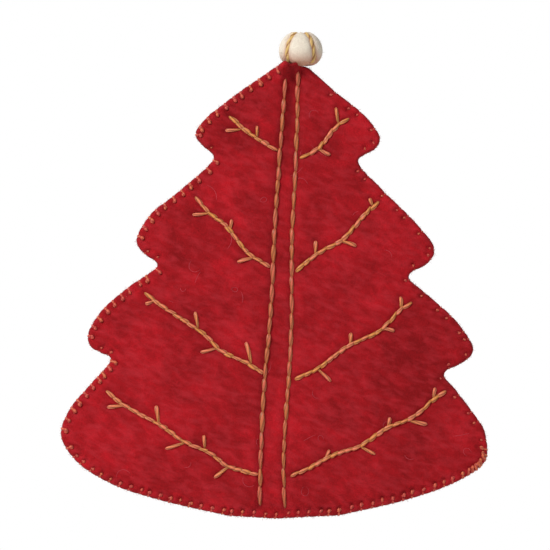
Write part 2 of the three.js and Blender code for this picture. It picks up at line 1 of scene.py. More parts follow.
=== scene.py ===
"""Felt tree ornament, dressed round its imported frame.

Two plies of red wool felt are sewn over loose wadding, the front one is embroidered with a trunk
and eight branches, the rim is overcast, and a lobed cream felt ball is tied to the tip.
Lengths inside the shape functions are millimetres in the tree's own frame, whose zero is the
middle of the ball across and the top edge of the tip upwards.
"""
import functools
import math

import bpy
import numpy as np
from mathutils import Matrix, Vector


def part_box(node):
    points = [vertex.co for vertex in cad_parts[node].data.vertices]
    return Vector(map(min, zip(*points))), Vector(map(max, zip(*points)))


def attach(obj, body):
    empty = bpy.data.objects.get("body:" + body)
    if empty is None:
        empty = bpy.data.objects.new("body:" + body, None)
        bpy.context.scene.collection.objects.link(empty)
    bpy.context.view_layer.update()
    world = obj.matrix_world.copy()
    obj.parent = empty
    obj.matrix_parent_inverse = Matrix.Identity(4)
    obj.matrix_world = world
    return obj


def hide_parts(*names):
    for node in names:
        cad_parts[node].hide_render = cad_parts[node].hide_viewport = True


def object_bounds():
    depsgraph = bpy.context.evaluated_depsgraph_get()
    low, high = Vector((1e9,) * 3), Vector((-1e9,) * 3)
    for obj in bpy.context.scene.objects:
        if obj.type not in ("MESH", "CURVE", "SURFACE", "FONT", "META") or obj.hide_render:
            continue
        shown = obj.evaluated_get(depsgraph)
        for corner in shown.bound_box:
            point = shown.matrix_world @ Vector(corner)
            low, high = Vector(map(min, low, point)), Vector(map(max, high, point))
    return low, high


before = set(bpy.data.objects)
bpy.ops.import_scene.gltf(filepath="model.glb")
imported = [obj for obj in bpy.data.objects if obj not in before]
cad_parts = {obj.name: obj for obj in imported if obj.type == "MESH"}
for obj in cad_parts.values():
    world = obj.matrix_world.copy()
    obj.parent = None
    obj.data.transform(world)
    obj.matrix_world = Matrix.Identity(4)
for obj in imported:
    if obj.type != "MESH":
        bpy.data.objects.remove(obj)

bl_info = {
    "name": "Felt Tree Ornament",
    "version": (1, 0, 0),
    "blender": (4, 5, 0),
    "location": "View3D > Sidebar > Ornament",
    "description": "Dresses the frame of an embroidered felt tree ornament",
    "category": "Add Mesh",
}

MM = 0.001
CAD_BOX = [list(corner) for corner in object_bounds()]
TIP_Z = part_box("front_felt")[1][2] / MM
BALL_LOW, BALL_HIGH = (np.array(corner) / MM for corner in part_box("felt_ball"))
SEED = 11

# Outline of the felt, from the tip to the hem
LEFT_RIM = (
    (-3.3, 0.8), (-4.0, 1.05), (-5.1, 0.4), (-6.9, -0.8), (-9.9, -2.9), (-15.6, -6.8), (-20.3, -10.4),
    (-23.3, -12.8), (-26.4, -17.3), (-24.0, -20.7), (-21.8, -22.9), (-29.7, -30.8), (-33.4, -33.8),
    (-37.2, -36.8), (-41.1, -43.7), (-39.6, -46.8), (-37.0, -48.7), (-35.8, -49.9), (-43.6, -55.8),
    (-50.2, -61.8), (-53.3, -67.7), (-52.4, -70.5), (-50.1, -71.9), (-47.6, -73.3), (-52.7, -79.8),
    (-57.7, -85.8), (-60.0, -92.2), (-56.5, -98.7), (-47.4, -104.7), (-35.5, -108.7),
    (-18.2, -112.7),
)
RIGHT_RIM = (
    (-1.9, 0.5), (-1.2, 0.7), (-0.4, 0.2), (0.8, -0.3), (1.95, -0.7), (3.1, -1.7), (4.6, -3.0),
    (8.75, -6.7), (16.1, -12.7), (19.75, -18.0), (19.1, -20.5), (17.1, -21.9), (14.35, -23.8),
    (20.0, -30.7), (28.1, -38.7), (33.4, -45.7), (32.85, -48.3), (31.1, -50.0), (27.0, -52.7),
    (32.1, -57.7), (38.65, -63.7), (43.1, -70.7), (42.15, -73.15), (39.25, -75.0), (35.85, -77.1),
    (39.2, -81.7), (43.7, -87.7), (45.65, -90.7), (46.65, -95.2), (46.4, -98.4), (44.5, -100.8),
    (37.6, -104.8), (25.9, -108.85), (9.6, -112.6),
)
TIP_MIDDLE = (-2.6, 0.25)
HEM_MIDDLE = (-6.4, -113.4)
SPINE_TOP = -3.0
SPINE_BOTTOM = -110.3

# Embroidered lines, each from its root
LEFT_TRUNK = (
    (-3.75, -3.05), (-5.1, -20.0), (-6.1, -34.5), (-6.7, -44.5), (-7.6, -62.7), (-9.1, -79.0),
    (-10.0, -97.0), (-10.35, -110.2),
)
RIGHT_TRUNK = (
    (-0.7, -1.35), (-1.1, -22.2), (-2.2, -43.0), (-2.4, -67.5), (-3.5, -85.0), (-4.3, -96.7),
    (-4.05, -110.9),
)
BRANCHES = {
    "left_1": {
        "stem": ((-5.75, -21.65), (-8.7, -19.7), (-11.2, -18.2), (-14.2, -16.2), (-16.2, -14.2),
                 (-17.9, -12.5)),
        "twigs": (((-15.2, -16.1), (-18.8, -16.4)), ((-10.9, -17.9), (-10.9, -15.3))),
    },
    "left_2": {
        "stem": ((-7.7, -50.7), (-10.0, -49.0), (-12.0, -48.2), (-15.0, -45.0), (-17.7, -41.2),
                 (-21.0, -38.4), (-23.0, -37.0), (-24.3, -35.7), (-26.3, -32.7)),
        "twigs": (((-12.0, -48.2), (-15.8, -49.2)), ((-17.6, -41.0), (-17.3, -38.7)),
                  ((-23.0, -37.0), (-27.0, -37.4))),
    },
    "left_3": {
        "stem": ((-9.3, -77.2), (-12.2, -75.0), (-16.7, -73.0), (-21.0, -70.7), (-22.4, -68.7),
                 (-25.7, -66.0), (-32.0, -62.0), (-34.7, -60.2), (-37.0, -58.7), (-39.0, -56.6)),
        "twigs": (((-12.4, -74.5), (-13.7, -69.2)), ((-21.0, -70.7), (-25.0, -71.7)),
                  ((-25.7, -65.5), (-26.4, -61.7)), ((-37.0, -59.0), (-38.7, -59.7))),
    },
    "left_4": {
        "stem": ((-10.5, -102.5), (-15.0, -101.2), (-18.2, -100.4), (-21.7, -97.5),
                 (-24.4, -96.0), (-29.0, -94.3), (-32.1, -92.0), (-35.5, -89.7), (-39.7, -87.5),
                 (-44.0, -85.0), (-46.0, -83.7), (-48.7, -81.2)),
        "twigs": (((-18.2, -100.4), (-21.6, -103.0)), ((-24.0, -95.4), (-24.2, -92.5)),
                  ((-29.0, -94.3), (-33.8, -95.8)), ((-35.5, -89.4), (-36.1, -85.1)),
                  ((-44.0, -85.1), (-48.3, -85.5))),
    },
    "right_1": {
        "stem": ((-0.5, -23.2), (2.0, -22.3), (4.5, -21.0), (6.5, -18.2), (9.3, -14.7),
                 (12.3, -13.4)),
        "twigs": (((4.5, -21.0), (7.3, -22.4)), ((9.3, -14.4), (8.8, -10.7))),
    },
    "right_2": {
        "stem": ((-1.45, -51.7), (1.5, -49.2), (3.6, -47.3), (6.5, -45.7), (10.0, -44.0),
                 (12.7, -41.4), (14.2, -39.2), (16.5, -37.0), (18.0, -35.0), (19.8, -34.2)),
        "twigs": (((3.6, -47.2), (3.7, -44.0)), ((10.0, -44.0), (13.8, -45.2)),
                  ((18.0, -35.0), (17.2, -33.4))),
    },
    "right_3": {
        "stem": ((-1.7, -78.4), (4.0, -76.0), (8.0, -73.0), (12.5, -69.7), (16.0, -68.2),
                 (20.5, -66.0), (25.0, -60.7), (28.0, -59.4)),
        "twigs": (((4.3, -76.0), (7.5, -79.0)), ((12.3, -69.7), (12.5, -67.0)),
                  ((20.5, -66.0), (23.3, -66.4)), ((25.0, -60.7), (24.9, -58.0))),
    },
    "right_4": {
        "stem": ((-2.7, -102.7), (2.5, -100.5), (6.3, -98.2), (10.5, -96.5), (15.0, -95.2),
                 (18.0, -93.0), (21.5, -90.5), (26.8, -88.7), (30.5, -86.1), (33.3, -83.3),
                 (36.5, -81.5)),
        "twigs": (((6.0, -98.4), (7.1, -96.2)), ((15.0, -95.4), (18.5, -97.2)),
                  ((21.8, -90.2), (22.2, -88.1)), ((27.0, -88.8), (31.5, -89.7)),
                  ((33.2, -83.3), (33.5, -80.7))),
    },
}

# Fineness of the surfaces: rows round half of the rim, and columns from the rim to the spine
PLY_ROWS = 560
BACK_ROWS = 300
PUFF_ROWS = 100
WADDING_ROWS = 120
RIM_COLUMNS = (0.0, 0.003, 0.008, 0.016, 0.03, 0.05, 0.075, 0.1, 0.135, 0.17)
FRONT_COLUMNS = 44
BACK_COLUMNS = 24
SPINE_COLUMNS = 14
INNER_COLUMNS = 14
WADDING_COLUMNS = 18

# The cut edge's radius and squareness, and how far a row runs square to the rim
CUT_ROUND = 0.75
CUT_POWER = 2.6
NORMAL_RUN = 3.0

# Where the tip opens round the ball, each from shut to open: from the left, the right and below
MOUTH_LEFT = (-6.6, -4.4)
MOUTH_RIGHT = (0.1, -1.2)
MOUTH_UP = (-4.6, 0.4)

# The simulated pillow: how far in from the rim it rises, its scale, its frames and its cloth
RISE = 6.0
SWELL = 10.0 * MM
PUFF_FRAMES = 20
CLOTH = {
    "quality": 6,
    "tension_stiffness": 30.0,
    "compression_stiffness": 30.0,
    "shear_stiffness": 15.0,
    "bending_stiffness": 6.0,
    "use_pressure": True,
    "uniform_pressure_force": 4.0,
    "vertex_group_mass": "rim",
}

# Soft unevenness of the felt: depth, wavelength and seed of each set of waves
FELT_WAVES = ((0.22, 17.0, 2), (0.09, 6.0, 3))

# Reach of what the stitches draw: notches in the rim, dimples along and at the end of an
# overcast stitch, bulges between two, and grooves under the trunk and the branches
NOTCH_REACH = 0.5
DIMPLE_REACH = 0.55
BITE_REACH = 0.65
BULGE_REACH = 0.85
TRUNK_REACH = 0.95
BRANCH_REACH = 0.8

# Height of those bulges, depth of a branch's groove beside a trunk's, and least share of the
# felt's thickness that is left under all of them
BULGE = 0.16
BRANCH_SHARE = 0.85
LEAST_SHARE = 0.3

# Crease of the front's tip between its two nubs: reach, rise from below and share of the valley
CREASE_REACH = 0.6
CREASE_UP = (-3.5, 0.0)
CREASE_SHARE = 0.9

# Nap: numbers of fibres on the front, the back and the ball, and of loose hairs, and thicknesses
FRONT_NAP = 3600
BACK_NAP = 2200
BALL_NAP = 700
LOOSE_HAIRS = 30
NAP_RADIUS = 0.022
LOOSE_RADIUS = 0.055

# Rim at the tip that is not overcast, on the left and on the right, and where the hem begins
OVERCAST_START = 3.0
OVERCAST_END = 9.0
HEM_TOP = -94.0

# Overcast stitches by kind: fullness, width, depth of bite, lean and sinking at the front
STITCH_KINDS = {
    "hem left": (0.85, 1.15, 0.95, 0.4, 0.42),
    "hem right": (0.85, 1.15, 1.15, 0.7, 0.42),
    "slope faint": (0.6, 1.0, 0.95, 0.4, 0.75),
    "slope broad": (0.85, 1.3, 1.12, 0.4, 0.25),
}

# Share of each half of an overcast stitch that lies round the cut edge
OVER_EDGE = 0.4

# Fullness of an overcast stitch that is out of sight, and above which one shows on the felt
HIDDEN = 0.22
PROUD = 0.4

# Share of a turn that spreads the stitches lying deeper evenly along the rim
GOLDEN_TURN = 0.618

# How red the stitches of the lines and of the twigs may be, least and most
STEM_REDNESS = (-0.15, 0.72)
TWIG_REDNESS = (0.15, 0.95)

# Where the overcast is close: place across, place upwards, reach along the rim, how much closer
CLOSE_SEWING = ((-47.6, -75.6, 4.0, 0.7), (44.2, -99.9, 3.5, 1.9))

# Where the front's felt is coloured lighter (above nought) or darker in broad patches: place across,
# place upwards, reach and how much
TONE_SHIFTS = (
    (16.0, -13.5, 7.0, 0.13), (23.0, -41.0, 11.0, 0.08), (27.0, -79.0, 9.5, -0.18),
    (-19.0, -14.5, 7.0, -0.08), (-44.0, -101.0, 9.0, 0.08), (14.5, -101.0, 6.0, -0.1),
)

# Longitudes of the hollows that the winding draws into the ball, and how strongly each turns
# outwards on its way down, in degrees
GROOVES = tuple(math.radians(turn) for turn in (-133.0, -50.5, 17.0, 88.0, 158.0))
FLARES = tuple(math.radians(turn) for turn in (-7.0, 9.0, 0.0, 0.0, 0.0))

# Shape of the ball: how full its profile is, how wide and deep its poles sink, and how far it
# stands beyond its box above and below before they do
BALL_FULLNESS = 0.8
POLE_REACH = 1.5
POLE_DEPTH = 0.75
BALL_OVER = 0.25
BALL_UNDER = 0.95

# Tie of the ball: radius of its thread, and each knot's radius, distance from its end and reach
TIE_RADIUS = 0.38
LOW_KNOT = (0.72, 0.8, 0.55)
HIGH_KNOT = (0.62, 0.5, 0.5)
TIE_RINGS = 50

# Latitude at which the winding enters the ball at either pole
WINDING_END = 1.42

# Lamps: name, place in metres, power and width
LAMPS = (
    ("key", (-0.59, -0.59, 0.535), 8.2, 0.26),
    ("fill", (0.85, -1.1, 0.1), 2.6, 0.8),
    ("behind", (-0.5, 1.2, 0.45), 9.0, 0.8),
)

# Radius of the floor, and strength of the white surroundings as light
FLOOR_RADIUS = 400.0
DAYLIGHT = 0.36


def srgb(red, green, blue):
    """Linear colour of a screen colour given from 0 to 255."""
    screen = np.array((red, green, blue)) / 255.0
    linear = np.where(screen <= 0.04045, screen / 12.92, ((screen + 0.055) / 1.055) ** 2.4)
    return tuple(float(value) for value in linear)


def length(name, description, millimetres):
    """A length property in metres, with its default in millimetres."""
    return bpy.props.FloatProperty(
        name=name, description=description, default=millimetres * MM, unit="LENGTH",
        precision=5, min=0.0)


def colour(name, description, red, green, blue):
    """A colour property with its default as a screen colour."""
    return bpy.props.FloatVectorProperty(
        name=name, description=description, default=srgb(red, green, blue), subtype="COLOR",
        size=3, min=0.0, max=1.0)


class FeltSettings(bpy.types.PropertyGroup):
    """Sizes and colours of the two red plies and the wadding."""

    thickness: length("Thickness", "Thickness of one ply of felt", 1.5)
    seam: length("Seam", "Half of the gap between the plies at the rim", 0.015)
    loft: length("Loft", "How far the filling lifts the front ply", 2.4)
    back_loft: length("Back loft", "How far the filling lifts the back ply", 1.85)
    valley: length("Valley", "How far the trunk's embroidery draws the front in", 0.75)
    groove: length("Groove", "How deep a sewn line sinks into the felt", 0.42)
    dimple: length("Dimple", "How deep an overcast stitch sinks into the felt", 0.52)
    scallop: length("Scallop", "How far an overcast stitch draws the rim in", 0.22)
    mouth: length("Mouth", "How far the front's tip stands off the seam before the ball", 3.3)
    pressed: length("Pressed", "How much thinner the ball presses the tip's felt", 0.5)
    back_mouth: length("Back mouth", "How far the back's tip stands off the seam", 1.8)
    light: colour("Light red", "Where the felt's nap catches the light", 180, 23, 34)
    # Dark red is the low end of the felt's tone, and 0.42 times it is the painted shade by the
    # stitches, in the trunk's valley, in the crease and at the rim.
    dark: colour("Dark red", "Where the felt is pressed", 133, 14, 20)
    hair: colour("Hair", "Loose fibres on the felt", 184, 46, 56)
    loose: colour("Loose hair", "Single hairs that lie on the felt", 198, 74, 86)
    filling: colour("Filling", "Loose wadding", 236, 232, 224)


class ThreadSettings(bpy.types.PropertyGroup):
    """Sizes and colours of the embroidery and the overcast edge."""

    width: length("Width", "Width of a trunk stitch", 1.1)
    stem_width: length("Stem width", "Width of a branch stitch", 0.99)
    twig_width: length("Twig width", "Width of a twig stitch at its fullest", 0.93)
    edge_width: length("Edge width", "Width of an overcast stitch", 0.95)
    height: length("Height", "Height of a stitch", 0.85)
    stitch: length("Stitch", "Length of a trunk stitch", 5.0)
    stem_stitch: length("Stem stitch", "Length of a branch stitch", 3.3)
    pitch: length("Pitch", "Distance between overcast stitches", 2.7)
    bite: length("Bite", "How far in from the rim an overcast stitch enters", 1.6)
    gold: colour("Gold", "The branches' own colour", 212, 136, 60)
    copper: colour("Copper", "The redder stitches of the branches", 222, 119, 83)
    # The trunk's two colours are the same thread painted darker: painted shade for stitches that sink
    # deeper into the felt.
    trunk_shaded_gold: colour("Trunk gold", "The trunk's own colour", 188, 102, 50)
    trunk_shaded_copper: colour("Trunk copper", "The redder stitches of the trunk", 199, 90, 65)
    # Shade and edge shade are painted shade: in the hollows between the strands, on the flanks and on
    # the thin tails.
    shade: colour("Shade", "Between the strands", 126, 64, 24)
    edge_gold: colour("Edge gold", "The paler overcast stitches", 200, 98, 54)
    edge_copper: colour("Edge copper", "The redder overcast stitches", 194, 70, 54)
    edge_shade: colour("Edge shade", "Between the strands of the overcast", 146, 34, 30)


class BallSettings(bpy.types.PropertyGroup):
    """Sizes and colours of the ball on the tip."""

    groove: length("Groove", "How deep a thread draws the ball in", 0.6)
    groove_width: length("Groove width", "Half width of the hollow that a thread draws", 0.95)
    sag: length("Sag", "How far the widest ring lies below the middle", 0.7)
    thread: length("Thread", "Thickness of the winding thread", 1.5)
    cream: colour("Cream", "The ball's felt", 235, 225, 208)
    # Tan is painted shade: the colour of the ball's hollows and underside.
    tan: colour("Tan", "The ball's felt in its hollows", 198, 148, 122)
    gold: colour("Gold", "The winding thread", 206, 170, 100)


class StageSettings(bpy.types.PropertyGroup):
    """Camera, lamps and floor."""

    distance: length("Distance", "From the camera to the ornament", 2200.0)
    frame_width: length("Frame width", "What the picture spans across", 137.5)
    across: bpy.props.FloatProperty(
        name="Across", description="Middle of the picture across", default=-6.45 * MM,
        unit="LENGTH", precision=5)
    up: bpy.props.FloatProperty(
        name="Up", description="Middle of the picture upwards", default=-60.75 * MM,
        unit="LENGTH", precision=5)
    drop: length("Drop", "From the hem down to the floor", 22.0)
    floor: colour("Floor", "Colour of the floor", 243, 242, 240)


def smooth_line(points, per_span):
    """Centripetal Catmull-Rom curve through the points, per_span steps to a span.

    Each span is a cubic whose end slopes come from the neighbouring points, with the square root
    of the distance between points as its parameter.
    """
    p = np.asarray(points, float)
    p = np.vstack([2 * p[0] - p[1], p, 2 * p[-1] - p[-2]])
    a, b, c, d = p[:-3], p[1:-2], p[2:-1], p[3:]
    ta = np.linalg.norm(b - a, axis=1)[:, None] ** 0.5
    tb = np.linalg.norm(c - b, axis=1)[:, None] ** 0.5
    tc = np.linalg.norm(d - c, axis=1)[:, None] ** 0.5
    slope_b = ((b - a) / ta - (c - a) / (ta + tb) + (c - b) / tb) * tb
    slope_c = ((c - b) / tb - (d - b) / (tb + tc) + (d - c) / tc) * tb
    s = np.linspace(0.0, 1.0, per_span, endpoint=False)[None, :, None]
    b, c, slope_b, slope_c = (v[:, None, :] for v in (b, c, slope_b, slope_c))
    curve = ((2 * s**3 - 3 * s**2 + 1) * b + (s**3 - 2 * s**2 + s) * slope_b
             + (3 * s**2 - 2 * s**3) * c + (s**3 - s**2) * slope_c)
    return np.vstack([curve.reshape(-1, p.shape[1]), p[-2]])


def run_of(line):
    """Length along a polyline, or along each of many, at its points."""
    steps = np.linalg.norm(np.diff(line, axis=-2), axis=-1)
    return np.concatenate([np.zeros_like(steps[..., :1]), np.cumsum(steps, axis=-1)], axis=-1)


def read_at(run, values, places):
    """Columns of values read at the given lengths along a run."""
    return np.stack([np.interp(places, run, column) for column in values.T], axis=-1)


def along(line, places):
    """Points of a polyline at the given lengths along it."""
    return read_at(run_of(line), line, places)


def resampled(line, count):
    """The polyline with its points equally far apart."""
    return along(line, np.linspace(0.0, run_of(line)[-1], count))


def distance_to_spans(points, start, step):
    """Shortest distance from each point to any of the straight spans."""
    square = np.maximum((step * step).sum(axis=1), 1e-12)
    best = np.full(len(points), np.inf)
    for part in np.array_split(np.arange(len(points)), len(points) // 4000 + 1):
        away = points[part, None, :] - start[None]
        reach = np.clip((away * step).sum(axis=2) / square, 0.0, 1.0)
        best[part] = np.linalg.norm(away - reach[..., None] * step, axis=2).min(axis=1)
    return best


def distance_to(points, line):
    """Shortest distance from each point to a polyline."""
    return distance_to_spans(points, line[:-1], np.diff(line, axis=0))


def distance_to_places(points, places):
    """Shortest distance from each point to any of the places."""
    return distance_to_spans(points, places, np.zeros_like(places))


def square_to(course):
    """Flat directions a quarter turn to the left of the given ones."""
    return np.stack([-course[:, 1], course[:, 0]], axis=1)


def closed_ring(line):
    """The line with its first point once more at its end."""
    return np.vstack([line, line[:1]])


def space(x, y, z):
    """Points or directions from their parts across, in depth and upwards."""
    return np.stack(np.broadcast_arrays(x, y, z), axis=-1)


def everywhere(direction, points):
    """The same direction at every one of the points."""
    return np.broadcast_to(np.asarray(direction, float), points.shape)


def unit(vectors):
    """The vectors at length one."""
    return vectors / np.maximum(np.linalg.norm(vectors, axis=-1, keepdims=True), 1e-12)


def bell(distance, width):
    """A smooth bump, one at nought and nearly gone at twice the width."""
    return np.exp(-((distance / width) ** 2))


def step_up(value, low, high):
    """Smooth step from nought at low to one at high."""
    s = np.clip((value - low) / (high - low), 0.0, 1.0)
    return s * s * (3 - 2 * s)


def waviness(x, z, wavelength, seed):
    """Soft unevenness: the mean of eight plane waves of random direction and phase."""
    chance = np.random.default_rng(SEED + seed)
    angle = chance.uniform(0.0, 2 * np.pi, 8)
    phase = chance.uniform(0.0, 2 * np.pi, 8)
    rate = 2 * np.pi / (wavelength * chance.uniform(0.7, 1.6, 8))
    turn = x[..., None] * np.cos(angle) + z[..., None] * np.sin(angle)
    return np.sin(turn * rate + phase).mean(axis=-1)


def trunk_middle(z):
    """Place across of the line midway between the two trunk lines."""
    left, right = np.array(LEFT_TRUNK)[::-1], np.array(RIGHT_TRUNK)[::-1]
    return (np.interp(z, left[:, 1], left[:, 0]) + np.interp(z, right[:, 1], right[:, 0])) / 2


@functools.lru_cache(maxsize=None)
def rim_rows(rows):
    """Rim points once round, their inward directions, their places on the spine and their run.

    The rim runs from the middle of the tip down the left side and up the right. A row joins a rim
    point to the spine, and the rows of the two sides meet there in pairs.
    """
    left = resampled(np.vstack([TIP_MIDDLE, smooth_line(LEFT_RIM, 16), HEM_MIDDLE]), rows + 1)
    right = resampled(np.vstack([TIP_MIDDLE, smooth_line(RIGHT_RIM, 16), HEM_MIDDLE]), rows + 1)
    level = np.clip((left[:, 1] + right[:, 1]) / 2 / HEM_MIDDLE[1], 0.0, 1.0)
    level = np.maximum.accumulate(level)
    spine_z = SPINE_TOP + (SPINE_BOTTOM - SPINE_TOP) * level
    spine = np.stack([trunk_middle(spine_z), spine_z], axis=1)
    rim = np.vstack([left, right[-2:0:-1]])
    spine = np.vstack([spine, spine[-2:0:-1]])
    tangent = unit(np.roll(rim, -1, axis=0) - np.roll(rim, 1, axis=0))
    for _ in range(max(2, rows // 60)):
        tangent = unit(np.roll(tangent, 1, axis=0) + 2 * tangent + np.roll(tangent, -1, axis=0))
    inward = square_to(tangent)
    return rim, inward, spine, run_of(closed_ring(rim))


def panel_points(rim, inward, spine, columns):
    """Points of a panel: each row is a quadratic curve that leaves the rim square to it.

    Its middle point lies NORMAL_RUN inside the rim, or nearer where the row is short, and it ends
    on the spine.
    """
    reach = np.linalg.norm(spine - rim, axis=1)
    middle = rim + inward * np.minimum(NORMAL_RUN, 0.45 * reach)[:, None]
    s = np.asarray(columns)[None, :, None]
    return ((1 - s) ** 2 * rim[:, None] + 2 * s * (1 - s) * middle[:, None]
            + s**2 * spine[:, None])


def ring_faces(rows, columns, first=0, flip=False):
    """Quads of a grid whose rows close into a ring."""
    i = np.arange(rows)[:, None]
    k = np.arange(columns - 1)[None, :]
    here, there = i * columns + k, (i + 1) % rows * columns + k
    quads = np.stack([here, here + 1, there + 1, there], axis=-1).reshape(-1, 4) + first
    return quads[:, ::-1] if flip else quads


def tube_faces(strands, rings, sides):
    """Quads of many tubes, each of some rings with the same number of sides."""
    n = np.arange(strands)[:, None, None] * rings * sides
    i = np.arange(rings - 1)[None, :, None]
    k = np.arange(sides)[None, None, :]
    here, beside = n + i * sides + k, n + i * sides + (k + 1) % sides
    return np.stack([here, here + sides, beside + sides, beside], axis=-1).reshape(-1, 4)


def welded(points, quads):
    """Points with doubles merged, the faces left after it, and where each point went."""
    _, kept, place = np.unique(
        np.round(points * 1e4).astype(np.int64), axis=0, return_index=True, return_inverse=True)
    place = place.reshape(-1)
    faces = place[quads]
    doubled = faces == np.roll(faces, -1, axis=1)
    count = doubled.sum(axis=1)
    whole = faces[count == 0]
    pinched = faces[count == 1]
    keep = ~doubled[count == 1]
    triangles = pinched[keep].reshape(-1, 3)
    crossed = (triangles[:, 0] == triangles[:, 1]) | (triangles[:, 1] == triangles[:, 2]) | (
        triangles[:, 2] == triangles[:, 0])
    return points[kept], whole, triangles[~crossed], place


def turned_outward(points, quads, triangles):
    """Faces of a closed shape, turned over where its volume comes out negative."""
    corners = np.concatenate([quads[:, [0, 1, 2]], quads[:, [0, 2, 3]], triangles])
    a, b, c = (points[corners[:, k]] for k in range(3))
    if (a * np.cross(b, c)).sum() < 0.0:
        return quads[:, ::-1], triangles[:, ::-1]
    return quads, triangles


def two_faced(front, back):
    """Points and quads of a closed shape whose two grids meet at their rims."""
    first = front.shape[0] * front.shape[1]
    quads = np.vstack([
        ring_faces(*front.shape[:2]), ring_faces(*back.shape[:2], first, True)])
    return np.vstack([front.reshape(-1, 3), back.reshape(-1, 3)]), quads


def mesh_object(name, points, *faces):
    """An object in the scene with a mesh of these points and sets of faces."""
    mesh = bpy.data.meshes.new(name)
    mesh.from_pydata(points.tolist(), [], [face for part in faces for face in part.tolist()])
    piece = bpy.data.objects.new(name, mesh)
    bpy.context.scene.collection.objects.link(piece)
    return piece


def make_piece(name, points, quads, attributes=None, outward=True):
    """Smooth mesh object from a grid in millimetres of the tree's frame.

    Doubles are merged, and the faces are turned over where the closed volume comes out negative.
    """
    points = np.asarray(points, float).reshape(-1, 3)
    where, whole, triangles, place = welded(points, quads)
    if outward:
        whole, triangles = turned_outward(where, whole, triangles)
    piece = mesh_object(name, (where + np.array((0.0, 0.0, TIP_Z))) * MM, whole, triangles)
    mesh = piece.data
    mesh.polygons.foreach_set("use_smooth", np.ones(len(mesh.polygons), bool))
    for label, values in (attributes or {}).items():
        values = np.asarray(values, np.float32)
        merged = np.zeros((len(where),) + values.shape[1:], np.float32)
        merged[place] = values
        vector = values.ndim == 2
        layer = mesh.attributes.new(label, "FLOAT_VECTOR" if vector else "FLOAT", "POINT")
        layer.data.foreach_set("vector" if vector else "value", merged.reshape(-1))
    mesh.update()
    return piece


def settle(piece, body, slot, finish, *nodes):
    """Gives a piece its finish and body, and hides the nodes that it stands for. The slot is not
    used.
    """
    piece.data.materials.append(finishes()[finish])
    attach(piece, body)
    if nodes:
        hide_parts(*nodes)


@functools.lru_cache(maxsize=None)
def puff_columns():
    """Columns of the coarse pillow that is simulated."""
    return np.concatenate([[0.0, 0.08, 0.17], np.linspace(0.27, 1.0, 11)])


def blown_up(points, quads, rim):
    """Points of a closed pillow after the cloth simulation, with the rim's points pinned."""
    where, whole, triangles, place = welded(points, quads)
    whole, triangles = turned_outward(where, whole, triangles)
    pillow = mesh_object("pillow", where * SWELL, whole, triangles)
    pinned = pillow.vertex_groups.new(name="rim")
    pinned.add(np.unique(place[rim]).tolist(), 1.0, "REPLACE")
    cloth = pillow.modifiers.new("puff", "CLOTH")
    for label, value in CLOTH.items():
        setattr(cloth.settings, label, value)
    cloth.settings.effector_weights.gravity = 0.0
    cloth.collision_settings.use_collision = False
    cloth.point_cache.frame_start = 1
    cloth.point_cache.frame_end = PUFF_FRAMES
    for number in range(1, PUFF_FRAMES + 1):
        bpy.context.scene.frame_set(number)
    shown = pillow.evaluated_get(bpy.context.evaluated_depsgraph_get())
    settled = np.zeros(len(where) * 3)
    shown.data.vertices.foreach_get("co", settled)
    bpy.data.objects.remove(pillow)
    bpy.context.scene.frame_set(1)
    return settled.reshape(-1, 3)[place] / SWELL


@functools.lru_cache(maxsize=None)
def puffed_heights():
    """Heights of the front and back of the pillow, from nought at the rim to about one.

    A closed pillow of two panels is blown up by a cloth simulation at ten times its size, with
    its rim pinned. Before it, each panel stands off the seam by a height that rises from the rim
    as one less a falling exponential of the distance from it.
    """
    rim, inward, spine, _ = rim_rows(PUFF_ROWS)
    columns = puff_columns()
    flat = panel_points(rim, inward, spine, columns)
    rows, width = flat.shape[:2]
    gap = distance_to(flat.reshape(-1, 2), closed_ring(rim)).reshape(rows, width)
    start = 1.0 - np.exp(-gap / RISE)
    lift = start * 0.8
    points, quads = two_faced(
        space(flat[..., 0], -lift, flat[..., 1]), space(flat[..., 0], lift, flat[..., 1]))
    height = blown_up(points, quads, np.arange(rows) * width)[:, 1].reshape(2, rows, width)
    result = []
    for side in (-height[0], height[1]):
        for _ in range(2):
            side = (np.roll(side, 1, axis=0) + 2 * side + np.roll(side, -1, axis=0)) / 4
        fullest = np.percentile(side, 96)
        result.append(np.clip(side / fullest, 0.0, 1.06))
    return tuple(result)


def puff_at(height, rows, columns):
    """The simulated heights read at finer rows and columns, linearly between its points."""
    coarse = len(height)
    place = np.arange(2 * rows) * coarse / (2 * rows)
    low = place.astype(int)
    part = (place - low)[:, None]
    by_row = height[low] * (1 - part) + height[(low + 1) % coarse] * part
    grid = puff_columns()
    k = np.clip(np.searchsorted(grid, columns, side="right") - 1, 0, len(grid) - 2)
    across = (np.asarray(columns) - grid[k]) / (grid[k + 1] - grid[k])
    return by_row[:, k] * (1 - across) + by_row[:, k + 1] * across


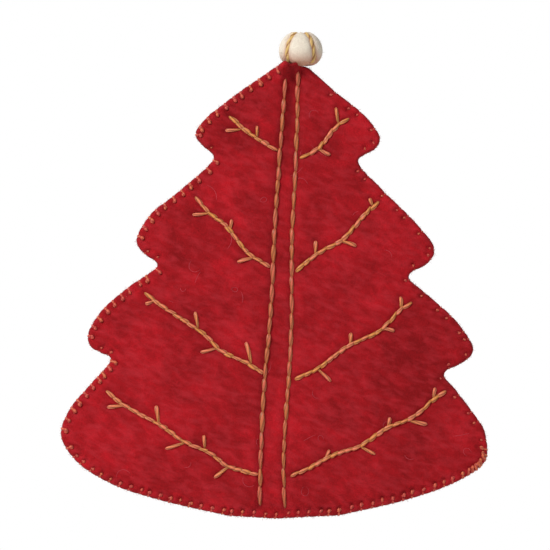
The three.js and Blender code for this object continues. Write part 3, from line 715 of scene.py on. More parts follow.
@functools.lru_cache(maxsize=None)
def overcast():
    """Every overcast stitch: its place on the rim, directions, sizes, tint and side.

    The stitches follow each other at the pitch, and closer by the bells of CLOSE_SEWING, where
    they are short and slanted. On the right slopes and under the tiers they lie deeper in the
    felt than elsewhere, two in five of them out of sight, and on the left slopes they are
    broadest. Along the hem they lie deeper on the left than on the right.
    """
    thread = bpy.context.scene.ornament_thread
    chance = np.random.default_rng(SEED + 1)
    rim, inward, _, run = rim_rows(PLY_ROWS)
    closed = closed_ring(rim)
    close = np.zeros(len(closed))
    for x, z, reach, more in CLOSE_SEWING:
        close += more * bell(np.linalg.norm(closed - (x, z), axis=1), reach)
    sewn = (run > OVERCAST_START) & (run < run[-1] - OVERCAST_END)
    number = np.cumsum(np.where(sewn, 1.0 + close, 0.0) * np.gradient(run)) * MM / thread.pitch
    count = int(number[-1])
    place = np.interp(np.arange(count) + 0.5, number, run) + chance.normal(0.0, 0.2, count)
    into = unit(read_at(run, closed_ring(inward), place))
    at = along(closed, place)
    on_left = place < run[PLY_ROWS]
    on_slope = at[:, 1] > HEM_TOP
    faint = on_slope & (~on_left | (into[:, 1] > 0.1))
    hidden = faint & (np.arange(count) * GOLDEN_TURN % 1.0 > 0.6)
    kind = np.where(on_slope, np.where(faint, 2, 3), np.where(on_left, 0, 1))
    fullness, width, deep, lean, sunk = np.array(tuple(STITCH_KINDS.values()))[kind].T
    fullness = np.where(hidden, HIDDEN, fullness) * chance.uniform(0.8, 1.25, count)
    lean = lean * chance.uniform(0.5, 1.5, count)
    sunk = sunk + np.where(on_slope, 0.0, 0.22 * step_up(-at[:, 0], -20.0, 10.0))
    packed = np.interp(place, run, close)
    return {
        "at": at,
        "into": into,
        "beside": -square_to(into),
        "bite": thread.bite / MM * (deep - 0.2 * packed) * chance.uniform(0.85, 1.15, count),
        "lean": lean + 0.3 * packed,
        "fullness": fullness + 0.35 * packed,
        "width": width,
        "sunk": np.clip(sunk - 0.3 * packed, 0.0, 1.0),
        "tint": chance.uniform(0.2, 1.0, count) - 0.35 * packed,
        "on_left": on_left,
    }


def bite_points(side):
    """Where the overcast stitches enter the front (side 1) or the back (side -1)."""
    sewing = overcast()
    return (sewing["at"] + sewing["into"] * sewing["bite"][:, None]
            + sewing["beside"] * side * sewing["lean"][:, None])


def mouth_share(x, z):
    """How open the tip is, from nought to one: the plies part round the bottom of the ball."""
    return step_up(x, *MOUTH_LEFT) * step_up(x, *MOUTH_RIGHT) * step_up(z, *MOUTH_UP)


def ply_columns(fine):
    """Columns of a ply's outer face: close together at the rim, then even to the spine."""
    return np.concatenate([
        RIM_COLUMNS, np.linspace(0.21, 0.88, fine), np.linspace(0.89, 1.0, SPINE_COLUMNS)])


def edge_round(gap, radius=CUT_ROUND):
    """Rounded cut edge: rises from nought at the rim to one at the radius inside it."""
    s = 1.0 - np.clip(gap / radius, 0.0, 1.0)
    return (1.0 - s**CUT_POWER) ** (1 / CUT_POWER)


def sewn_lines():
    """Every branch stem and twig as a polyline."""
    lines = []
    for branch in BRANCHES.values():
        lines.append(smooth_line(branch["stem"], 6))
        lines.extend(np.array(twig) for twig in branch["twigs"])
    return lines


def valley_depth(x, z):
    """How far the trunk's embroidery draws the front in, as a share of the valley's depth.

    A wide bell across the trunk, and a narrow one between its lines that deepens to the tip.
    """
    middle = np.abs(x - trunk_middle(z))
    wide = bell(middle, 3.0) * (1.0 + 0.4 * step_up(z, -40.0, -5.0))
    return wide + 0.7 * bell(middle, 1.1) * step_up(z, -48.0, -8.0)


@functools.lru_cache(maxsize=None)
def ply_surface(front):
    """Outer and inner points of one ply, their distance from the rim and their painted shade.

    Height above the seam is the felt's thickness with a rounded cut edge, plus the simulated puff
    times the loft, less a valley along the trunk, a groove under each sewn line and a dimple
    along each proud overcast stitch, plus soft unevenness and a bulge between overcast stitches.
    The rim draws in at those stitches too, and the ply stands off the seam at the tip.
    """
    felt = bpy.context.scene.ornament_felt
    thick, seam, valley = felt.thickness / MM, felt.seam / MM, felt.valley / MM
    rows, columns = (PLY_ROWS, FRONT_COLUMNS) if front else (BACK_ROWS, BACK_COLUMNS)
    columns = ply_columns(columns)
    rim, inward, spine, _ = rim_rows(rows)
    sewing = overcast()
    at, bites = sewing["at"], bite_points(1 if front else -1)
    proud = (sewing["fullness"] > PROUD) | (not front)
    drawn = felt.scallop / MM * bell(distance_to_places(rim, at[proud]), NOTCH_REACH)
    rim = rim + inward * drawn[:, None]
    flat = panel_points(rim, inward, spine, columns)
    points = flat.reshape(-1, 2)
    x, z = flat[..., 0], flat[..., 1]
    gap = distance_to(points, closed_ring(rim)).reshape(x.shape)
    puffed = puffed_heights()[0 if front else 1]
    loft = (felt.loft if front else felt.back_loft) / MM
    height = seam + thick * edge_round(gap) + loft * puff_at(puffed, rows, columns)
    for depth, wavelength, seed in FELT_WAVES:
        height += step_up(gap, 0.4, 5.0) * depth * waviness(x, z, wavelength, seed)
    to_stitch = distance_to_spans(points, at[proud], (bites - at)[proud]).reshape(x.shape)
    to_bite = distance_to_places(points, bites[proud]).reshape(x.shape)
    bulges = (at + np.roll(at, -1, axis=0)) / 2 + 0.95 * sewing["into"]
    to_bulge = distance_to_places(points, bulges).reshape(x.shape)
    height -= felt.dimple / MM * step_up(gap, 0.0, 0.35) * (
        0.3 * bell(to_stitch, DIMPLE_REACH) + 0.75 * bell(to_bite, BITE_REACH))
    height += BULGE * step_up(gap, 0.1, 0.6) * bell(to_bulge, BULGE_REACH)
    # Painted shade, kept as pressed: darker round each proud stitch's bite and along the cut edge.
    rim_shade = 1.0 - step_up(gap, 0.05, 0.45)
    pressed = np.maximum(0.4 * bell(to_bite, DIMPLE_REACH), 0.3 * rim_shade)
    inner_columns = np.concatenate([[0.0, 0.03], np.linspace(0.1, 1.0, INNER_COLUMNS)])
    inner_flat = panel_points(rim, inward, spine, inner_columns)
    lift = loft * puff_at(puffed, rows, inner_columns)
    if front:
        groove = np.zeros(len(points))
        for line in (smooth_line(LEFT_TRUNK, 6), smooth_line(RIGHT_TRUNK, 6)):
            groove = np.maximum(groove, bell(distance_to(points, line), TRUNK_REACH))
        for line in sewn_lines():
            sewn = bell(distance_to(points, line), BRANCH_REACH)
            groove = np.maximum(groove, BRANCH_SHARE * sewn)
        groove = groove.reshape(x.shape)
        crease = bell(x - TIP_MIDDLE[0], CREASE_REACH) * step_up(z, *CREASE_UP)
        height -= valley * valley_depth(x, z) * step_up(gap, 0.3, 2.5)
        height -= CREASE_SHARE * valley * crease + felt.groove / MM * groove
        height = np.maximum(height, seam + LEAST_SHARE * thick * edge_round(gap))
        lift = lift - 1.3 * valley * valley_depth(inner_flat[..., 0], inner_flat[..., 1])
        # Painted shade, kept as pressed: darker under the sewn lines, between the trunk's lines near
        # the tip and in the tip's crease.
        between = bell(x - trunk_middle(z), 1.25) * step_up(z, -27.0, -9.0)
        pressed = np.maximum.reduce([pressed, 0.5 * groove, 0.75 * between, 0.8 * crease])
    mouth = (felt.mouth if front else felt.back_mouth) / MM
    height += mouth * mouth_share(x, z)
    inner = seam + np.maximum(lift, 0.0) + (mouth + felt.pressed / MM) * mouth_share(
        inner_flat[..., 0], inner_flat[..., 1])
    toward = -1.0 if front else 1.0
    outer_points = space(x, toward * height, z)
    inner_points = space(inner_flat[..., 0], toward * inner, inner_flat[..., 1])
    return outer_points, inner_points, gap, pressed


def ply_piece(name, front):
    """One ply as a closed sheet: the outer and inner faces share their points at the rim."""
    outer, inner, _, pressed = ply_surface(front)
    inner = inner.copy()
    inner[:, 0] = outer[:, 0]
    points, quads = two_faced(outer, inner)
    # Painted shade on the outer face, copied to the rim of the inner face.
    pressed = np.concatenate([pressed.reshape(-1), np.zeros(inner[..., 0].size)])
    pressed[outer[..., 0].size::inner.shape[1]] = pressed[:outer[..., 0].size:outer.shape[1]]
    tone_shift = np.zeros(len(points))
    if front:
        for x, z, reach, lighter in TONE_SHIFTS:
            tone_shift += lighter * bell(np.hypot(points[:, 0] - x, points[:, 2] - z), reach)
    return make_piece(name, points, quads, {"pressed": pressed, "tone_shift": tone_shift})


def felt_height(front, x, z):
    """Height of a ply at places across and up: the mean of its four nearest points."""
    outer = ply_surface(front)[0].reshape(-1, 3)
    wanted = np.stack([np.ravel(x), np.ravel(z)], axis=1)
    height = np.zeros(len(wanted))
    for part in np.array_split(np.arange(len(wanted)), len(wanted) // 150 + 1):
        apart = ((wanted[part, None, :] - outer[None, :, ::2]) ** 2).sum(axis=2)
        near = np.argpartition(apart, 4, axis=1)[:, :4]
        weight = 1.0 / (np.take_along_axis(apart, near, axis=1) + 0.01)
        height[part] = (np.abs(outer[near, 1]) * weight).sum(axis=1) / weight.sum(axis=1)
    return height.reshape(np.shape(x))


def strands(middle, across, up, half_width, half_height, twist, sides, lobes=0.09):
    """Many threads at once, each a tube of three twisted plies along its own path.

    A point of the section is half_width times the cosine of its angle across the path and
    half_height times its sine upwards, both fuller where one of three lobes lies, and the lobes
    turn by twist along the path.
    """
    angle = np.arange(sides) * 2 * np.pi / sides
    lobe = 1.0 + lobes * np.cos(3.0 * (angle - twist[..., None]))
    wide = (half_width[..., None] * np.cos(angle) * lobe)[..., None]
    tall = (half_height[..., None] * np.sin(angle) * lobe)[..., None]
    points = middle[..., None, :] + wide * across[..., None, :] + tall * up[..., None, :]
    count, rings = half_width.shape
    turned = angle - twist[..., None]
    coordinates = space(np.cos(turned), np.sin(turned), run_of(middle)[..., None])
    return points.reshape(-1, 3), tube_faces(count, rings, sides), coordinates.reshape(-1, 3)


def section_shade(count, rings, sides, along_it):
    """How shaded each point of many threads is: its flanks, and what lies low along the thread."""
    flank = np.abs(np.cos(np.arange(sides) * 2 * np.pi / sides)) ** 4
    along_it = np.broadcast_to(along_it, (count, rings))[..., None]
    return np.clip(0.4 * flank + along_it, 0.0, 1.0).reshape(-1)


def lying_stitches(starts, ends, widths, seed, shape, bow, redness, rings=12, sides=10):
    """Embroidery stitches from start to end over the front felt.

    Each stitch rises out of the felt, lies over it and dives again. Its width follows the shape
    function of the place along it, from nought at the root to one at the end, and its tint is
    drawn between the two values of its redness.
    """
    height = bpy.context.scene.ornament_thread.height / MM
    chance = np.random.default_rng(SEED + seed)
    count = len(starts)
    s = np.linspace(0.0, 1.0, rings)[None, :]
    flat = starts[:, None] + (ends - starts)[:, None] * s[..., None]
    course = unit(ends - starts)
    sideways = square_to(course)
    bend = bow * chance.normal(0.0, 1.0, (count, 1))
    flat = flat + (np.sin(np.pi * s) * bend)[..., None] * sideways[:, None]
    rounded = np.clip(1.0 - np.abs(2 * s - 1.0) ** 5, 0.0, 1.0) ** 0.6
    fullness = shape(s, chance.uniform(0.28, 0.5, (count, 1)))
    half_width = widths[:, None] / 2 * fullness * rounded * chance.uniform(0.92, 1.08, (count, 1))
    half_height = height / 2 * (0.4 + 0.6 * fullness) * rounded
    rise = -0.25 + 0.52 * fullness * np.clip(1.0 - np.abs(2 * s - 1.0) ** 4, 0.0, 1.0)
    level = felt_height(True, flat[..., 0], flat[..., 1])
    level = (level + level.mean(axis=1, keepdims=True)) / 2 + rise
    middle = space(flat[..., 0], -level, flat[..., 1])
    across = everywhere(space(sideways[:, 0], 0.0, sideways[:, 1])[:, None], middle)
    up = everywhere((0.0, -1.0, 0.0), middle)
    size = np.linalg.norm(ends - starts, axis=1)
    twist = chance.uniform(0.0, 2.0, (count, 1)) + s * size[:, None] * 0.5
    points, quads, coordinates = strands(
        middle, across, up, half_width, half_height, twist, sides)
    tint = chance.uniform(*redness, (count, 1)) + 1.6 * (fullness - 0.82)
    # Painted shade on the thin tail of each stitch.
    tail = np.clip(1.9 * (0.95 - fullness), 0.0, 0.5)
    layers = {
        "thread": coordinates,
        "tint": np.repeat(np.clip(tint, 0.0, 1.0).reshape(-1), sides),
        "shaded": section_shade(count, rings, sides, tail),
    }
    return points, quads, layers


def joined(parts):
    """Several sets of points, faces and attributes as one."""
    points, quads, layers, first = [], [], {}, 0
    for where, faces, attributes in parts:
        points.append(where)
        quads.append(faces + first)
        first += len(where)
        for label, values in attributes.items():
            layers.setdefault(label, []).append(values)
    layers = {label: np.concatenate(values) for label, values in layers.items()}
    return np.vstack(points), np.vstack(quads), layers


def lapping(s, peak):
    """A lapping stitch: fullest at its peak, with a thin tail that the next one covers."""
    return 0.7 + 0.3 * bell(s - peak, 0.32)


def teardrop(s, peak):
    """A twig stitch: narrow at its root and fullest towards its end."""
    return 0.62 + 0.4 * step_up(s, 0.0, 0.5 + peak)


def line_stitches(line, size, chance, lap, slant):
    """Starts and ends of stitches along a line, each lapping the one before and slanted."""
    line = resampled(line, 400)
    whole = run_of(line)[-1]
    count = max(2, int(round((whole - lap * size) / (size * (1.0 - lap)))))
    steps = chance.uniform(0.75, 1.25, count)
    ends = np.cumsum(steps) / steps.sum() * (whole - lap * size)
    first = np.concatenate([[0.0], ends[:-1]])
    last = np.minimum(ends + lap * size, whole)
    start, end = along(line, first), along(line, last)
    course = unit(end - start)
    sideways = square_to(course)
    off = slant * (1.0 + 0.25 * chance.normal(0.0, 1.0, count))[:, None]
    return start - sideways * off, end + sideways * off


def feed(tree, socket, value):
    """Links an input to an output, or sets its value."""
    if isinstance(value, bpy.types.NodeSocket):
        tree.links.new(value, socket)
    else:
        socket.default_value = value


def node(tree, kind, inputs=None, **settings):
    """A shader node with its settings and the values of its inputs."""
    made = tree.nodes.new(kind)
    for label, value in settings.items():
        setattr(made, label, value)
    for label, value in (inputs or {}).items():
        feed(tree, made.inputs[label], value)
    return made


def attribute(tree, label, kind="Fac"):
    """A piece's own attribute, as a value or as a vector."""
    return node(tree, "ShaderNodeAttribute", attribute_name=label).outputs[kind]


def maths(tree, operation, *values):
    """A maths node of one, two or three values."""
    return node(tree, "ShaderNodeMath", dict(enumerate(values)), operation=operation).outputs[0]


def weighted(tree, *parts):
    """Sum of values, each times its weight."""
    total = 0.0
    for value, weight in parts:
        total = maths(tree, "MULTIPLY_ADD", value, weight, total)
    return total


def full(tint):
    """A colour with its alpha."""
    return (*tint, 1.0)


def scaled(tint, share):
    """A colour times a share."""
    return tuple(share * value for value in tint)


def ramp(tree, source, *stops):
    """A colour ramp fed by a value, with its stops as place and colour, or as place and grey."""
    made = node(tree, "ShaderNodeValToRGB", {"Fac": source})
    elements = made.color_ramp.elements
    while len(elements) < len(stops):
        elements.new(0.5)
    for element, (place, tint) in zip(elements, stops):
        element.position = place
        element.color = full((tint,) * 3 if isinstance(tint, float) else tint)
    return made.outputs["Color"]


def blended(tree, factor, first, second, mode="MIX"):
    """Two colours mixed by a factor."""
    made = node(tree, "ShaderNodeMix", data_type="RGBA", blend_type=mode)
    colours = [socket for socket in made.inputs if socket.type == "RGBA"]
    for socket, value in zip((made.inputs[0], *colours), (factor, first, second)):
        feed(tree, socket, value)
    return [socket for socket in made.outputs if socket.type == "RGBA"][0]


def noise_at(tree, place, scale, detail, roughness=0.55, distortion=0.0):
    """Noise value at a place."""
    made = node(tree, "ShaderNodeTexNoise", {
        "Vector": place, "Scale": scale, "Detail": detail, "Roughness": roughness,
        "Distortion": distortion})
    return made.outputs["Fac"]


def millimetre_place(tree, turn=(0.0, 0.0, 0.0), stretch=(1.0, 1.0, 1.0)):
    """Object coordinates in millimetres, turned and then stretched."""
    place = node(tree, "ShaderNodeTexCoord").outputs["Object"]
    turned = node(tree, "ShaderNodeMapping", {
        "Vector": place, "Rotation": turn, "Scale": (1 / MM, 1 / MM, 1 / MM)}).outputs["Vector"]
    return node(tree, "ShaderNodeMapping", {
        "Vector": turned, "Scale": stretch}).outputs["Vector"]


def felt_fibres(tree):
    """Height of matted fibres: streaks of noise in three directions, the highest one kept."""
    highest = 0.0
    for turn in (0.35, 1.4, 2.45):
        place = millimetre_place(tree, (0.0, turn, 0.0), (0.7, 2.2, 5.0))
        highest = maths(tree, "MAXIMUM", noise_at(tree, place, 1.0, 3.0, 0.6, 0.6), highest)
    return highest


def fresh_material(name):
    """A material with an empty node tree but its shader and output."""
    material = bpy.data.materials.new(name)
    material.use_nodes = True
    tree = material.node_tree
    tree.nodes.clear()
    shader = node(tree, "ShaderNodeBsdfPrincipled")
    node(tree, "ShaderNodeOutputMaterial", {"Surface": shader.outputs[0]})
    return material, tree, shader


def surface(tree, shader, coloured, roughness, gloss=0.5, sheen=0.0):
    """Gives a shader its colour, roughness, gloss and sheen."""
    for label, value in (
            ("Base Color", coloured), ("Roughness", roughness), ("Specular IOR Level", gloss),
            ("Sheen Weight", sheen)):
        feed(tree, shader.inputs[label], value)


def bumpy(tree, shader, height, strength, depth):
    """Gives a shader a bump whose depth is in millimetres."""
    bump = node(tree, "ShaderNodeBump", {
        "Height": height, "Strength": strength, "Distance": depth * MM})
    tree.links.new(bump.outputs["Normal"], shader.inputs["Normal"])


def red_felt_material(settings):
    """Matted red wool: light and dark patches, streaks of nap, pale wisps, fibres and sheen, and
    painted shade where the felt is drawn in.
    """
    material, tree, shader = fresh_material("red_wool_felt")
    clouds = noise_at(tree, millimetre_place(tree), 0.085, 4.0, 0.6, 0.4)
    streaky = noise_at(
        tree, millimetre_place(tree, (0.0, -0.7, 0.0), (0.16, 0.5, 0.36)), 1.0, 5.0, 0.62, 0.7)
    fibres = felt_fibres(tree)
    patches = weighted(tree, (clouds, 0.55), (streaky, 0.45), (attribute(tree, "tone_shift"), 1.0))
    middle = tuple(math.sqrt(a * b) for a, b in zip(settings.dark, settings.light))
    base = ramp(tree, patches, (0.36, settings.dark), (0.5, middle), (0.64, settings.light))
    streaked = ramp(tree, fibres, (0.45, (0.78, 0.68, 0.68)), (0.74, (1.12, 1.1, 1.1)))
    coloured = blended(tree, 1.0, base, streaked, "MULTIPLY")
    wisps = noise_at(
        tree, millimetre_place(tree, (0.0, -0.3, 0.0), (0.3, 0.6, 0.7)), 1.0, 2.0, 0.5, 0.35)
    pale = ramp(tree, wisps, (0.42, 0.0), (0.8, 0.44))
    coloured = blended(tree, pale, coloured, full(settings.hair))
    # Painted shade: the pressed attribute mixes the red towards 0.42 times the dark red.
    pressed = maths(tree, "MULTIPLY", attribute(tree, "pressed"), 0.8)
    coloured = blended(tree, pressed, coloured, full(scaled(settings.dark, 0.42)))
    bumpy(tree, shader, fibres, strength=0.55, depth=0.25)
    surface(tree, shader, coloured, roughness=0.95, gloss=0.15, sheen=0.08)
    shader.inputs["Sheen Roughness"].default_value = 0.45
    shader.inputs["Sheen Tint"].default_value = (1.0, 0.4, 0.42, 1.0)
    return material


def hair_material(name, tint):
    """Single wool fibres: one colour that varies softly along the felt."""
    material, tree, shader = fresh_material(name)
    uneven = noise_at(tree, millimetre_place(tree), 0.4, 2.0)
    coloured = ramp(tree, uneven, (0.35, scaled(tint, 0.7)), (0.65, tint))
    surface(tree, shader, coloured, roughness=0.8, gloss=0.2)
    return material


def thread_material(name, gold, copper, shade):
    """Stranded thread: three plies with painted shade in the hollows between, fine filaments and a
    soft lustre.
    """
    material, tree, shader = fresh_material(name)
    place = attribute(tree, "thread", "Vector")
    parts = node(tree, "ShaderNodeSeparateXYZ", {"Vector": place})
    angle = maths(tree, "ARCTAN2", parts.outputs["Y"], parts.outputs["X"])
    ply = maths(tree, "COSINE", maths(tree, "MULTIPLY", angle, 3.0))
    ply = maths(tree, "MULTIPLY_ADD", ply, 0.5, 0.5)
    stretched = node(tree, "ShaderNodeMapping", {
        "Vector": place, "Scale": (5.0, 5.0, 0.8)}).outputs["Vector"]
    filaments = noise_at(tree, stretched, 1.6, 3.0, 0.6)
    uneven = noise_at(tree, millimetre_place(tree), 0.55, 2.0)
    mixed = weighted(tree, (attribute(tree, "tint"), 0.6), (uneven, 0.55))
    base = ramp(tree, mixed, (0.3, gold), (0.75, copper))
    hollow_shade = ramp(tree, maths(tree, "MULTIPLY", ply, filaments), (0.0, 0.85), (0.26, 0.0))
    coloured = blended(tree, hollow_shade, base, full(shade))
    # Painted shade on the flanks and tails, from the shaded attribute.
    shaded = maths(tree, "MULTIPLY", attribute(tree, "shaded"), 0.7)
    coloured = blended(tree, shaded, coloured, full(shade))
    height = weighted(tree, (ply, 1.0), (filaments, 0.7))
    bumpy(tree, shader, height, strength=0.4, depth=0.1)
    surface(tree, shader, coloured, roughness=0.45, gloss=0.4, sheen=0.1)
    return material


def cream_felt_material(settings):
    """Cream wool with matted fibres and uneven tone, and painted shade: tan in the hollows and
    towards the bottom.
    """
    material, tree, shader = fresh_material("cream_wool_felt")
    clouds = noise_at(tree, millimetre_place(tree), 0.35, 4.0, 0.6)
    fibres = felt_fibres(tree)
    # Random tone, and painted shade of the grooves and underside.
    tone_and_shade = weighted(tree, (clouds, 0.35), (attribute(tree, "hollow_shade"), 1.0))
    base = ramp(tree, tone_and_shade, (0.15, settings.cream), (1.0, settings.tan))
    streaked = ramp(tree, fibres, (0.45, (0.86, 0.84, 0.82)), (0.72, 1.04))
    coloured = blended(tree, 1.0, base, streaked, "MULTIPLY")
    bumpy(tree, shader, fibres, strength=0.6, depth=0.3)
    surface(tree, shader, coloured, roughness=0.95, gloss=0.15, sheen=0.1)
    return material


def wadding_material(settings):
    """Loose white wadding: cloudy tufts and fine fibres."""
    material, tree, shader = fresh_material("white_wadding")
    tufts = noise_at(tree, millimetre_place(tree), 0.4, 5.0, 0.7, 0.5)
    coloured = ramp(
        tree, tufts, (0.35, scaled(settings.filling, 0.75)), (0.6, settings.filling))
    bumpy(tree, shader, tufts, strength=0.7, depth=0.6)
    surface(tree, shader, coloured, roughness=1.0)
    return material


@functools.lru_cache(maxsize=None)
def finishes():
    """The shared materials by name, made once."""
    scene = bpy.context.scene
    felt, thread, ball = scene.ornament_felt, scene.ornament_thread, scene.ornament_ball
    return {
        "red felt": red_felt_material(felt),
        "red nap": hair_material("red_wool_nap", felt.light),
        "pale hair": hair_material("pale_wool_hair", felt.loose),
        "cream felt": cream_felt_material(ball),
        "cream nap": hair_material("cream_wool_nap", ball.cream),
        "thread": thread_material("gold_floss", thread.gold, thread.copper, thread.shade),
        # The trunk's thread: the branches' thread painted darker as shade.
        "trunk thread": thread_material(
            "trunk_floss", thread.trunk_shaded_gold, thread.trunk_shaded_copper, thread.shade),
        "edge thread": thread_material(
            "edge_floss", thread.edge_gold, thread.edge_copper, thread.edge_shade),
        "ball thread": thread_material("winding_floss", ball.gold, ball.gold, thread.shade),
        "wadding": wadding_material(felt),
    }


class ORNAMENT_OT_wadding(bpy.types.Operator):
    """Make the loose wadding between the plies."""

    bl_idname = "ornament.wadding"
    bl_label = "Wadding"

    def execute(self, context):
        """The pillow's inside, drawn in from the rim and lumpy, as one closed pad."""
        felt = context.scene.ornament_felt
        rim, inward, spine, _ = rim_rows(WADDING_ROWS)
        columns = np.linspace(0.0, 1.0, WADDING_COLUMNS)
        flat = panel_points(rim + inward * 4.5, inward, spine, columns)
        x, z = flat[..., 0], flat[..., 1]
        gap = distance_to(flat.reshape(-1, 2), closed_ring(rim)).reshape(x.shape)
        swell = edge_round(gap - gap[:, :1], 4.0)
        lumps = 1.0 + 0.3 * waviness(x, z, 7.0, 5)
        fullness = 0.6 * swell * lumps * (1 - np.exp(-gap / RISE))
        drawn = 1.4 * felt.valley / MM * valley_depth(x, z)
        front = np.maximum(felt.loft / MM * fullness - drawn, 0.0)
        back = felt.back_loft / MM * fullness
        piece = make_piece("loose_wadding", *two_faced(space(x, -front, z), space(x, back, z)))
        settle(piece, "tree", "wadding", "wadding", "wadding")
        return {"FINISHED"}


class ORNAMENT_OT_plies(bpy.types.Operator):
    """Make the front and back plies of red felt."""

    bl_idname = "ornament.plies"
    bl_label = "Felt plies"

    def execute(self, context):
        """Each ply is a sheet cut to the outline and sewn over the wadding."""
        for name, front, stands_for in (
                ("felt_front", True, "front_felt"), ("felt_back", False, "back_felt")):
            piece = ply_piece(name, front)
            settle(piece, "tree", "red_felt", "red felt", stands_for)
        return {"FINISHED"}


class ORNAMENT_OT_trunk(bpy.types.Operator):
    """Embroider the two trunk lines."""

    bl_idname = "ornament.trunk"
    bl_label = "Trunk stitches"

    def execute(self, context):
        """Each line is a row of lapping stitches."""
        thread = context.scene.ornament_thread
        for number, (side, points) in enumerate((("left", LEFT_TRUNK), ("right", RIGHT_TRUNK))):
            chance = np.random.default_rng(SEED + 20 + number)
            starts, ends = line_stitches(
                smooth_line(points, 8), thread.stitch / MM, chance, lap=0.16, slant=0.1)
            widths = thread.width / MM * chance.uniform(0.88, 1.08, len(starts))
            made = lying_stitches(
                starts, ends, widths, 30 + number, lapping, bow=0.05, redness=STEM_REDNESS)
            piece = make_piece(f"trunk_floss_{side}", *made)
            settle(piece, "tree", "gold_thread", "trunk thread", f"trunk_stitch_{side}")
        return {"FINISHED"}


class ORNAMENT_OT_branches(bpy.types.Operator):
    """Embroider the eight branches and their twigs."""

    bl_idname = "ornament.branches"
    bl_label = "Branch stitches"

    def execute(self, context):
        """A branch is a stem of slanted lapping stitches, with one full stitch for each twig."""
        thread = context.scene.ornament_thread
        for number, (side, branch) in enumerate(BRANCHES.items()):
            chance = np.random.default_rng(SEED + 40 + number)
            starts, ends = line_stitches(
                smooth_line(branch["stem"], 6), thread.stem_stitch / MM, chance,
                lap=0.34, slant=0.2)
            widths = thread.stem_width / MM * chance.uniform(0.85, 1.12, len(starts))
            stem = lying_stitches(
                starts, ends, widths, 50 + number, lapping, bow=0.06, redness=STEM_REDNESS)
            twigs = np.array(branch["twigs"])
            twigs[:, 0] -= 0.45 * unit(twigs[:, 1] - twigs[:, 0])
            twigs[:, 1] += 0.25 * unit(twigs[:, 1] - twigs[:, 0])
            widths = thread.twig_width / MM * chance.uniform(0.9, 1.1, len(twigs))
            twig = lying_stitches(
                twigs[:, 0], twigs[:, 1], widths, 60 + number, teardrop, bow=0.08,
                redness=TWIG_REDNESS)
            piece = make_piece(f"branch_floss_{side}", *joined((stem, twig)))
            settle(piece, "tree", "gold_thread", "thread", f"branch_{side}")
        return {"FINISHED"}


class ORNAMENT_OT_overcast(bpy.types.Operator):
    """Sew the overcast edge."""

    bl_idname = "ornament.overcast"
    bl_label = "Overcast edge"

    def execute(self, context):
        """A stitch leaves the front felt at its bite, lies over the rim and enters the back.

        Its middle part follows the rounded cut edge, in the notch that it draws, and each end
        part runs in to its bite. At the front it sinks into the felt between the two, and the
        least full ones stay inside it.
        """
        thread = context.scene.ornament_thread
        chance = np.random.default_rng(SEED + 2)
        sewing = overcast()
        at, into, beside, bite, lean, fullness, width, sunk = (
            sewing[label][:, None]
            for label in ("at", "into", "beside", "bite", "lean", "fullness", "width", "sunk"))
        felt = context.scene.ornament_felt
        count, rings, sides = len(at), 25, 8
        q = np.linspace(-1.0, 1.0, rings)[None, :]
        t = np.abs(q)
        front = q > 0.0
        shown = np.where(front, fullness, np.maximum(fullness, 0.75))
        turn = np.pi / 2 * np.minimum(t / OVER_EDGE, 1.0)
        inward = np.clip((t - OVER_EDGE) / (1.0 - OVER_EDGE), 0.0, 1.0)
        sink = np.where(front, sunk, 0.1) * bell(t - 0.42, 0.17)
        corner = np.where(fullness > PROUD, 0.2, 0.12) + CUT_ROUND * (
            1.0 - np.cos(turn) ** (2 / CUT_POWER))
        gap = corner + (bite - corner) * inward**1.1 + sink * np.cos(turn)
        flat = at + into * gap[..., None] + beside * (lean * q)[..., None]
        x, z = flat[..., 0], flat[..., 1]
        mouth = np.where(front, felt.mouth, felt.back_mouth) / MM * mouth_share(x, z)
        cut = (felt.seam + felt.thickness * np.sin(turn) ** (2 / CUT_POWER)) / MM
        cut = cut + mouth * np.minimum(t / 0.15, 1.0)
        top = np.where(front, felt_height(True, x, z), felt_height(False, x, z))
        top += 0.27 * shown * bell(inward - 0.68, 0.26) - 0.6 * step_up(inward, 0.9, 1.0)
        top -= 0.5 * (shown < PROUD) * step_up(inward, 0.1, 0.3)
        level = np.where(inward > 0.0, top, cut) - sink * np.sin(turn)
        middle = space(x, -np.sign(q) * level, z)
        course = unit(np.gradient(middle, axis=1))
        across = everywhere(space(beside[..., 0], 0.0, beside[..., 1]), middle)
        up = unit(np.cross(across, course))
        taper = np.clip(np.cos(np.pi / 2 * t**6), 0.0, 1.0) * (0.7 + 0.3 * step_up(t, 0.3, 0.7))
        taper[:, (0, -1)] = 0.0
        half = thread.edge_width / MM / 2 * width * taper * np.sqrt(
            np.where(inward > 0.0, shown, np.maximum(shown, 0.6)))
        half = half * chance.uniform(0.85, 1.1, (count, 1))
        twist = chance.uniform(0.0, 2.0, (count, 1)) + q * 1.6
        points, _, coordinates = strands(middle, across, up, half, 0.8 * half, twist, sides)
        layers = {
            "thread": coordinates,
            "tint": np.repeat(sewing["tint"], rings * sides),
            "shaded": section_shade(
                count, rings, sides, 0.3 * bell(t - 0.45, 0.15) + 0.5 * (1.0 - shown)),
        }
        for side, mine in (("left", sewing["on_left"]), ("right", ~sewing["on_left"])):
            of_side = np.repeat(mine, rings * sides)
            piece = make_piece(
                f"overcast_floss_{side}", points[of_side],
                tube_faces(int(mine.sum()), rings, sides),
                {label: values[of_side] for label, values in layers.items()})
            settle(piece, "tree", "gold_thread", "edge thread", f"edge_stitch_{side}")
        return {"FINISHED"}


def groove_turns(latitude):
    """Longitude of each groove at a latitude: it turns outwards downwards, most at the bottom."""
    up = np.sin(latitude)[..., None]
    return np.array(GROOVES) - np.array(FLARES) * up * (1.0 - 0.5 * up)


